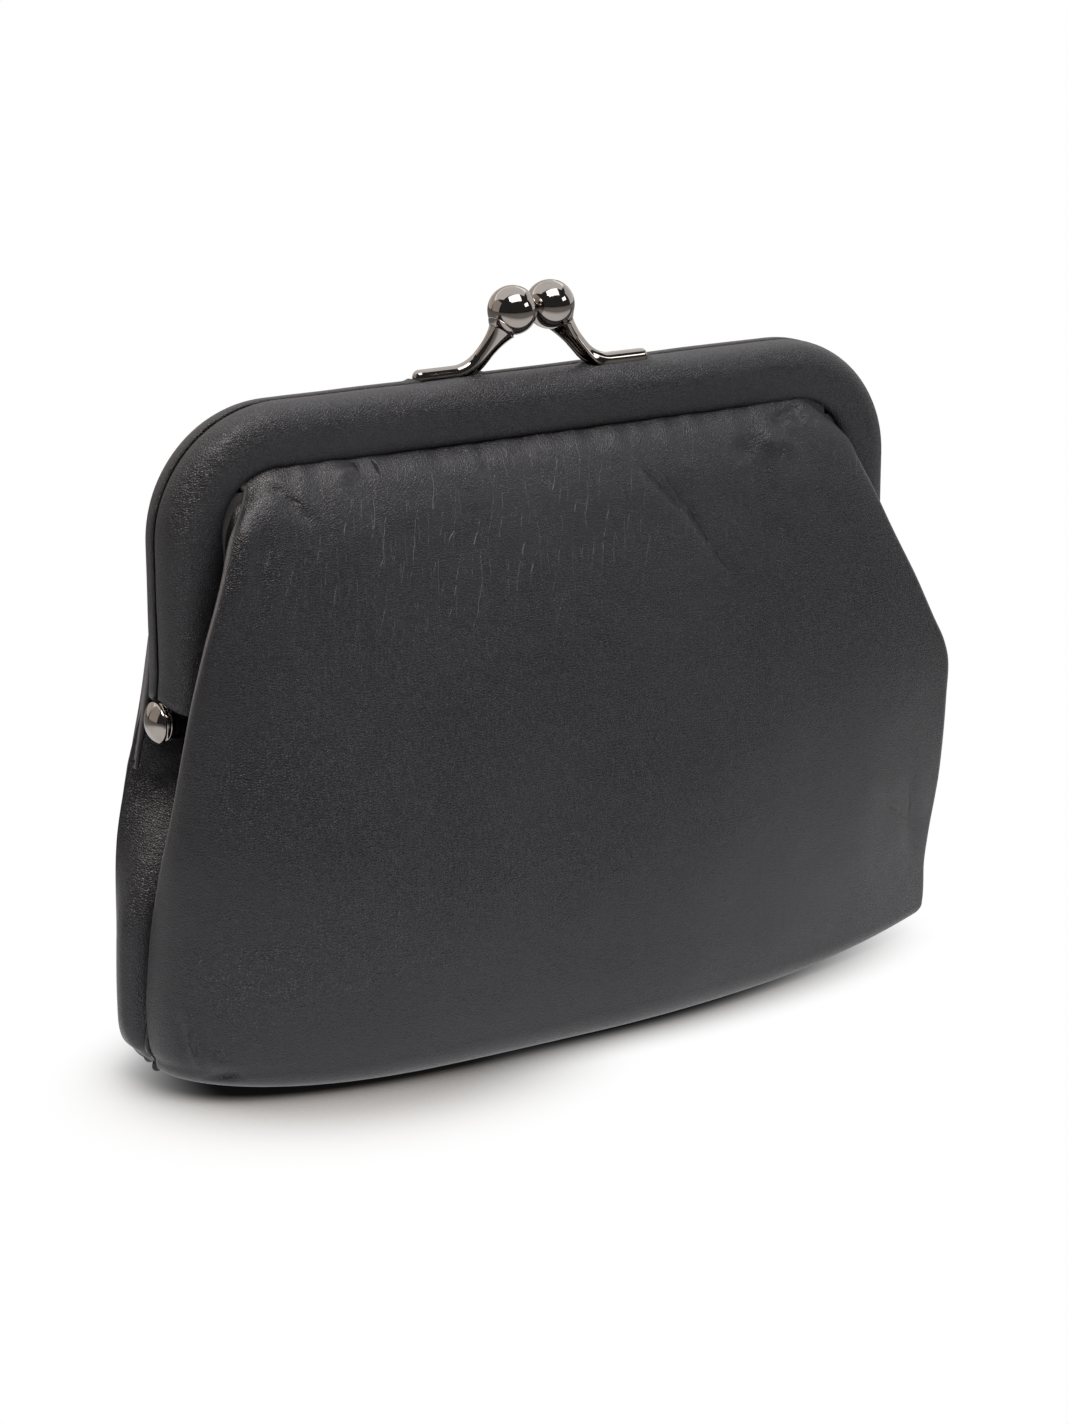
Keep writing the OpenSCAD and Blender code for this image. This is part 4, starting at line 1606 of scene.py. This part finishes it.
        def place(i: int, j: int) -> Vector:
            """Place of the point at a column and a row.

            Args:
                i: column.
                j: row.

            Returns:
                The place.
            """
            s = (2 * i / (columns - 1) - 1) * 0.93
            at = self.point(s, j)
            folded = ramp(j, self.base_rows, self.base_rows + self.fold_rows)
            at.z += self.lining_lift * (1 - folded)
            inset = 1.5 * folded + 0.7 * ramp(at.z, 82.0, 92.0)
            at.y -= self.half.value * min(inset, abs(at.y))
            return at

        bm = grid_piece(columns, rows, place)
        face_sheet(bm, self._off_middle, Vector((0, -self.half.value, 0)))
        sculpt(bm, lambda at: -0.12 - 0.25 * abs(ripple(at, 16.0, 9.0)) * bump(at.z, 45, 40))
        piece = finish_sheet(bm, f"{self.half.word}_lining_cloth", material, self.lining_wall, self.half)
        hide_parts(f"{self.half.word}_lining")
        return piece


@dataclass
class Gusset:
    """One half of a side gusset, from a panel's rolled edge to the fold or the frame's leg."""

    arch: Arch
    panel: Panel
    side: Side
    depth: float = 15.0
    fold_top: float = 51.3
    grip: float = 59.8
    lip_reach: float = 10.4
    grip_reach: float = 6.2
    tuck: float = 3.6
    top: float = 94.0
    foot: float = 3.3
    columns: int = 33
    rows: int = 112
    wall: float = 0.85
    lining_wall: float = 0.22

    def _path(self, z: float) -> list[tuple[float, float]]:
        """Corners of the gusset's line at a height, as (distance from the middle, depth).

        Args:
            z: height.

        Returns:
            The five corners.
        """
        crest_x, crest_y = self.panel.edge(self.side, z)
        sx, sy = crest_x - 1.35 * self.panel.roll, max(crest_y - 0.9 * self.panel.roll, 0.6)
        if self.side is Side.LEFT and self.panel.half is Half.BACK:
            sx += 1.3 * self.panel.roll * ramp(z, 2.5, 6.0) * (1 - ramp(z, 38.0, 68.0))
        fx = sx - 0.2 - self.depth * ramp(z, 3.0, self.fold_top + 4) ** 0.75
        k = ramp(z, self.fold_top, self.grip)
        lip_x, grip_x = self.arch.leg_in(z, self.lip_reach), self.arch.leg_in(z, self.grip_reach)
        knee = (mix(mix(sx, fx, 0.5), lip_x, k), max(sy * mix(0.55, 0.8, k), self.tuck * k + 0.4))
        path = [
            (sx, sy),
            (mix(sx, knee[0], 0.5), mix(sy, knee[1], 0.5)),
            knee,
            (mix(fx, lip_x, k), mix(min(0.6, sy * 0.2), self.tuck, k)),
            (mix(fx, grip_x, k), self.tuck * k + 0.12 * (1 - k)),
        ]
        if self.side is Side.RIGHT:
            return path
        shut = self._shut(sx, sy, fx, z)
        close = 1 - ramp(z, 22.0, 50.0)
        return [(mix(a, c, close), mix(b, d, close)) for (a, b), (c, d) in zip(path, shut)]

    def _shut(self, sx: float, sy: float, fx: float, z: float) -> list[tuple[float, float]]:
        """Corners where the fold lies shut behind the front seam and the back half bulges.

        Args:
            sx: distance of the seam from the middle.
            sy: depth of the seam.
            fx: distance of the fold's valley from the middle.
            z: height.

        Returns:
            The five corners.
        """
        if self.panel.half is Half.FRONT:
            steps = ((0.0, 0.0), (0.5, 0.6), (2.0, 1.0), (5.0, 1.1))
            return [(sx - a, sy - b) for a, b in steps] + [(fx, sy - 1.2)]
        near = max(LEFT_FRONT.y.at(z) - 0.9 * self.panel.roll, 1.0) - 1.15
        bulge = 1.3 * ramp(z, 2.0, 12.0)
        swollen = [(sx, sy), (sx + bulge, 0.3 * sy), (sx + bulge * 0.6, -0.45 * near)]
        return swollen + [(sx - 2.6, -near), (fx, -near)]

    def _at(self, path: Sequence[tuple[float, float]], t: float) -> tuple[float, float]:
        """Point a share t along the corners.

        Args:
            path: the corners.
            t: the share.

        Returns:
            The point.
        """
        t = min(max(t, 0.0), 1.0) * (len(path) - 1)
        i = min(int(t), len(path) - 2)
        (x0, y0), (x1, y1) = path[i], path[i + 1]
        return mix(x0, x1, t - i), mix(y0, y1, t - i)

    def point(self, t: float, z: float, inset: float = 0.0) -> Vector:
        """Place on the gusset, a share t from the panel's edge, with its corners rounded.

        Args:
            t: share of the way in.
            z: height.
            inset: how far inside the leather.

        Returns:
            The place.
        """
        path = self._path(z)
        span = 0.12
        picks = [self._at(path, t + span * k / 3) for k in range(-3, 4)] if 0 < t < 1 else [self._at(path, t)]
        x = sum(p[0] for p in picks) / len(picks)
        y = sum(p[1] for p in picks) / len(picks)
        return Vector((self.side.value * (x - inset), self.panel.half.value * y, z))

    def _creases(self) -> list[Crease]:
        """Folds below the hinge.

        Returns:
            The folds.
        """
        x, y = self.side.value, self.panel.half.value
        out = [Crease((x * 70, y * 7.5, 60.0), (x * 66, y * 4.0, 36.0), 2.2, 0.2)]
        for i in range(9):
            z = 41.0 + 1.55 * i + 0.5 * noise.cell(Vector((i * 1.3, 2.0, x * y)))
            out.append(Crease((x * 71.5, y * 7.2, z - 1.5), (x * 64.0, y * 2.6, z + 2.2), 0.5, 0.3))
        return out

    def build(self, material: bpy.types.Material, lining: bpy.types.Material) -> list[bpy.types.Object]:
        """Builds the leather and its lining and gives both pieces.

        Args:
            material: the leather.
            lining: the cloth.

        Returns:
            The leather and the lining.
        """
        creases = self._creases()

        def height(j: int, rows: int) -> float:
            """Height of a row."""
            return mix(self.foot, self.top, j / (rows - 1))

        def place(i: int, j: int) -> Vector:
            """Place of a point of the leather."""
            return self.point(i / (self.columns - 1), height(j, self.rows))

        def inner(i: int, j: int) -> Vector:
            """Place of a point of the lining.

            Args:
                i: column.
                j: row.

            Returns:
                The place.
            """
            at = self.point(0.3 + 0.7 * i / 16, height(j, 60), 1.4)
            at.y += self.panel.half.value * 0.5
            return at

        out = []
        words = (
            ("gusset", "leather", place, (self.columns, self.rows), material, "pouch_leather", self.wall),
            ("gusset_lining", "cloth", inner, (17, 60), lining, "lining_cloth", self.lining_wall),
        )
        for node, word, where, size, finish, slot, thickness in words:
            bm = grid_piece(*size, where)
            out_way = Vector((self.side.value, -0.2 * self.panel.half.value, 0))
            face_sheet(bm, lambda at: abs(at.z - 20), out_way if node == "gusset" else -out_way)
            if node == "gusset":
                sculpt(bm, lambda at: sum(c.push(at) for c in creases) + 0.2 * ripple(at, 12.0, 2.0))
            name = f"{self.side.word}_{node}_{self.panel.half.word}_{word}"
            piece = finish_sheet(bm, name, finish, thickness, self.panel.half)
            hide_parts(f"{self.side.word}_{node}")
            out.append(piece)
        return out


# The studio


@dataclass
class Studio:
    """Plain pale floor, soft lights and the camera, in metres and degrees."""

    target: tuple[float, float, float] = (0.00012, 0.0, 0.0494)
    azimuth: float = 32.02
    elevation: float = 15.82
    roll: float = -0.31
    distance: float = 0.6213
    lens: float = 95.07
    world: float = 0.045

    def camera(self) -> bpy.types.Object:
        """Places the camera at the photograph's view.

        Returns:
            The camera.
        """
        az, el, roll = (math.radians(v) for v in (self.azimuth, self.elevation, self.roll))
        forward = Vector((math.sin(az) * math.cos(el), math.cos(az) * math.cos(el), -math.sin(el)))
        right = Vector((math.cos(az), -math.sin(az), 0))
        up = right.cross(forward)
        turned = right * math.cos(roll) + up * math.sin(roll)
        lifted = up * math.cos(roll) - right * math.sin(roll)
        place = Vector(self.target) - forward * self.distance
        data = bpy.data.cameras.new("camera")
        data.lens = self.lens
        data.sensor_width = 36.0
        data.clip_start, data.clip_end = 0.01, 50.0
        camera = bpy.data.objects.new("camera", data)
        turn = Matrix((turned, lifted, -forward)).transposed().to_4x4()
        camera.matrix_world = Matrix.Translation(place) @ turn
        bpy.context.scene.collection.objects.link(camera)
        bpy.context.scene.camera = camera
        return camera

    def lamp(
        self, name: str, place: Vector, size: tuple[float, float], power: float, colour: tuple
    ) -> None:
        """Adds a soft rectangular lamp that points at the purse.

        Args:
            name: name of the lamp.
            place: its middle.
            size: its width and height.
            power: its power in watts.
            colour: its colour.
        """
        aim = Vector((0, 0, 0.05))
        data = bpy.data.lights.new(name, "AREA")
        data.shape = "RECTANGLE"
        data.size, data.size_y = size
        data.energy = power
        data.color = colour
        lamp = bpy.data.objects.new(name, data)
        lamp.visible_camera = False
        turn = (aim - place).to_track_quat("-Z", "Y").to_matrix().to_4x4()
        lamp.matrix_world = Matrix.Translation(place) @ turn
        bpy.context.scene.collection.objects.link(lamp)

    def floor(self) -> bpy.types.Object:
        """Adds the white floor, which keeps the purse's shadow. Near the purse its colour is darkened by
        ambient occlusion, a painted contact shadow.

        Returns:
            The floor.
        """
        bm = bmesh.new()
        bmesh.ops.create_grid(bm, x_segments=2, y_segments=2, size=6000.0)
        s = Shader("studio_floor")
        wide = s.length(s.mapped((0.5, 1.0, 1.0)))
        far: Any = 1.0
        ovals = ((0.0, -3.0, 84.0, 32.0, 0.55, 0.97), (-44.0, -12.0, 52.0, 42.0, 0.4, 1.0))
        for x, y, long, deep, start, end in ovals:
            along, across = (s.axis("X") - x) * (1 / long), (s.axis("Y") - y) * (1 / deep)
            far = ((along * along + across * across) ** 0.5).smooth(start, end) * far
        camera = s.node("ShaderNodeLightPath", out="Is Camera Ray")
        glossy = s.node("ShaderNodeLightPath", out="Is Glossy Ray")
        white = s.node("ShaderNodeEmission", None, {"Color": (1.0, 1.0, 1.0), "Strength": 1.0})
        # Painted shadow: ambient occlusion darkens the paper's colour where it meets the purse.
        open_air = s.node("ShaderNodeAmbientOcclusion", None, {"Distance": 0.04}, "AO").smooth(0.35, 0.95)
        near = s.blend(open_air, (0.08, 0.078, 0.075), (0.78, 0.79, 0.8))
        sheet = s.blend(wide.smooth(0.08, 0.24), near, (0.22, 0.22, 0.22))
        paper = s.node("ShaderNodeBsdfDiffuse", None, {"Color": sheet})
        seen = camera * far + glossy * (1.0 - wide.smooth(0.07, 0.22))
        mixed = s.node("ShaderNodeMixShader", None, {0: seen, 1: paper, 2: white})
        s.links.new(mixed.socket, s.output.inputs["Surface"])
        floor = finish_mesh(bm, "floor", s.material)
        return floor

    def build(self) -> None:
        """Sets up the whole studio."""
        scene = bpy.context.scene
        scene.view_settings.view_transform = "Standard"
        world = bpy.data.worlds.new("studio")
        world.use_nodes = True
        tree = world.node_tree
        dim = tree.nodes["Background"]
        dim.inputs["Color"].default_value = (1, 1, 1, 1)
        dim.inputs["Strength"].default_value = self.world
        bright = tree.nodes.new("ShaderNodeBackground")
        bright.inputs["Color"].default_value = (1, 1, 1, 1)
        path, choice = tree.nodes.new("ShaderNodeLightPath"), tree.nodes.new("ShaderNodeMixShader")
        tree.links.new(path.outputs["Is Camera Ray"], choice.inputs[0])
        tree.links.new(dim.outputs[0], choice.inputs[1])
        tree.links.new(bright.outputs[0], choice.inputs[2])
        tree.links.new(choice.outputs[0], tree.nodes["World Output"].inputs["Surface"])
        scene.world = world
        self.camera()
        self.floor()
        white, warm = (1.0, 1.0, 1.0), (1.0, 0.9, 0.82)
        self.lamp("ceiling", Vector((0.1, 0.55, 1.25)), (2.6, 1.6), 14.0, white)
        self.lamp("window", Vector((-0.02, -0.42, 0.98)), (0.85, 0.6), 5.6, white)
        self.lamp("key", Vector((-0.26, -0.44, 0.98)), (0.42, 0.3), 4.6, (1.0, 0.86, 0.76))
        self.lamp("left_wall", Vector((-1.2, 0.6, 0.5)), (1.1, 1.0), 1.9, warm)
        self.lamp("right_wall", Vector((1.2, 0.35, 0.5)), (1.6, 1.0), 4.4, white)
        self.lamp("back_wall", Vector((0.0, 1.5, 0.55)), (2.4, 1.1), 6.0, warm)
        self.lamp("front", Vector((0.68, -0.68, 0.5)), (0.36, 0.22), 1.1, white)


@dataclass
class Purse:
    """The whole purse."""

    arch: Arch = field(default_factory=Arch)

    def build(self) -> list[bpy.types.Object]:
        """Builds and dresses every piece in order and gives the new ones.

        Returns:
            The new pieces.
        """
        finishes = Finishes()
        pieces: list[bpy.types.Object] = []
        for half in Half:
            clasp = Clasp(self.arch, half)
            pieces.append(Cover(self.arch, half).build(finishes.cover, [clasp.foot_line]))
            pieces += clasp.build(finishes.nickel)
            panel = Panel(self.arch, half)
            pieces.append(panel.build(finishes.pouch))
            pieces.append(panel.build_lining(finishes.lining))
            for side in Side:
                pieces += Gusset(self.arch, panel, side).build(finishes.pouch, finishes.lining)
        for side in Side:
            pieces.append(Rivet(side).build(finishes.nickel))
        carried = {"rail": finishes.rail, "cover_core": finishes.core, "channel_cord": finishes.cord}
        for half in Half:
            for word, finish in carried.items():
                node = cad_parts[f"{half.word}_{word}"]
                node.data.materials.clear()
                node.data.materials.append(finish)
        return pieces


def main() -> None:
    """Builds the purse and its studio."""
    logging.basicConfig(level=logging.INFO, format="%(message)s")
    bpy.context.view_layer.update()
    for piece in Purse().build():
        LOG.info("%s: %d faces", piece.name, len(piece.data.polygons))
    Studio().build()


if __name__ == "__main__":
    main()
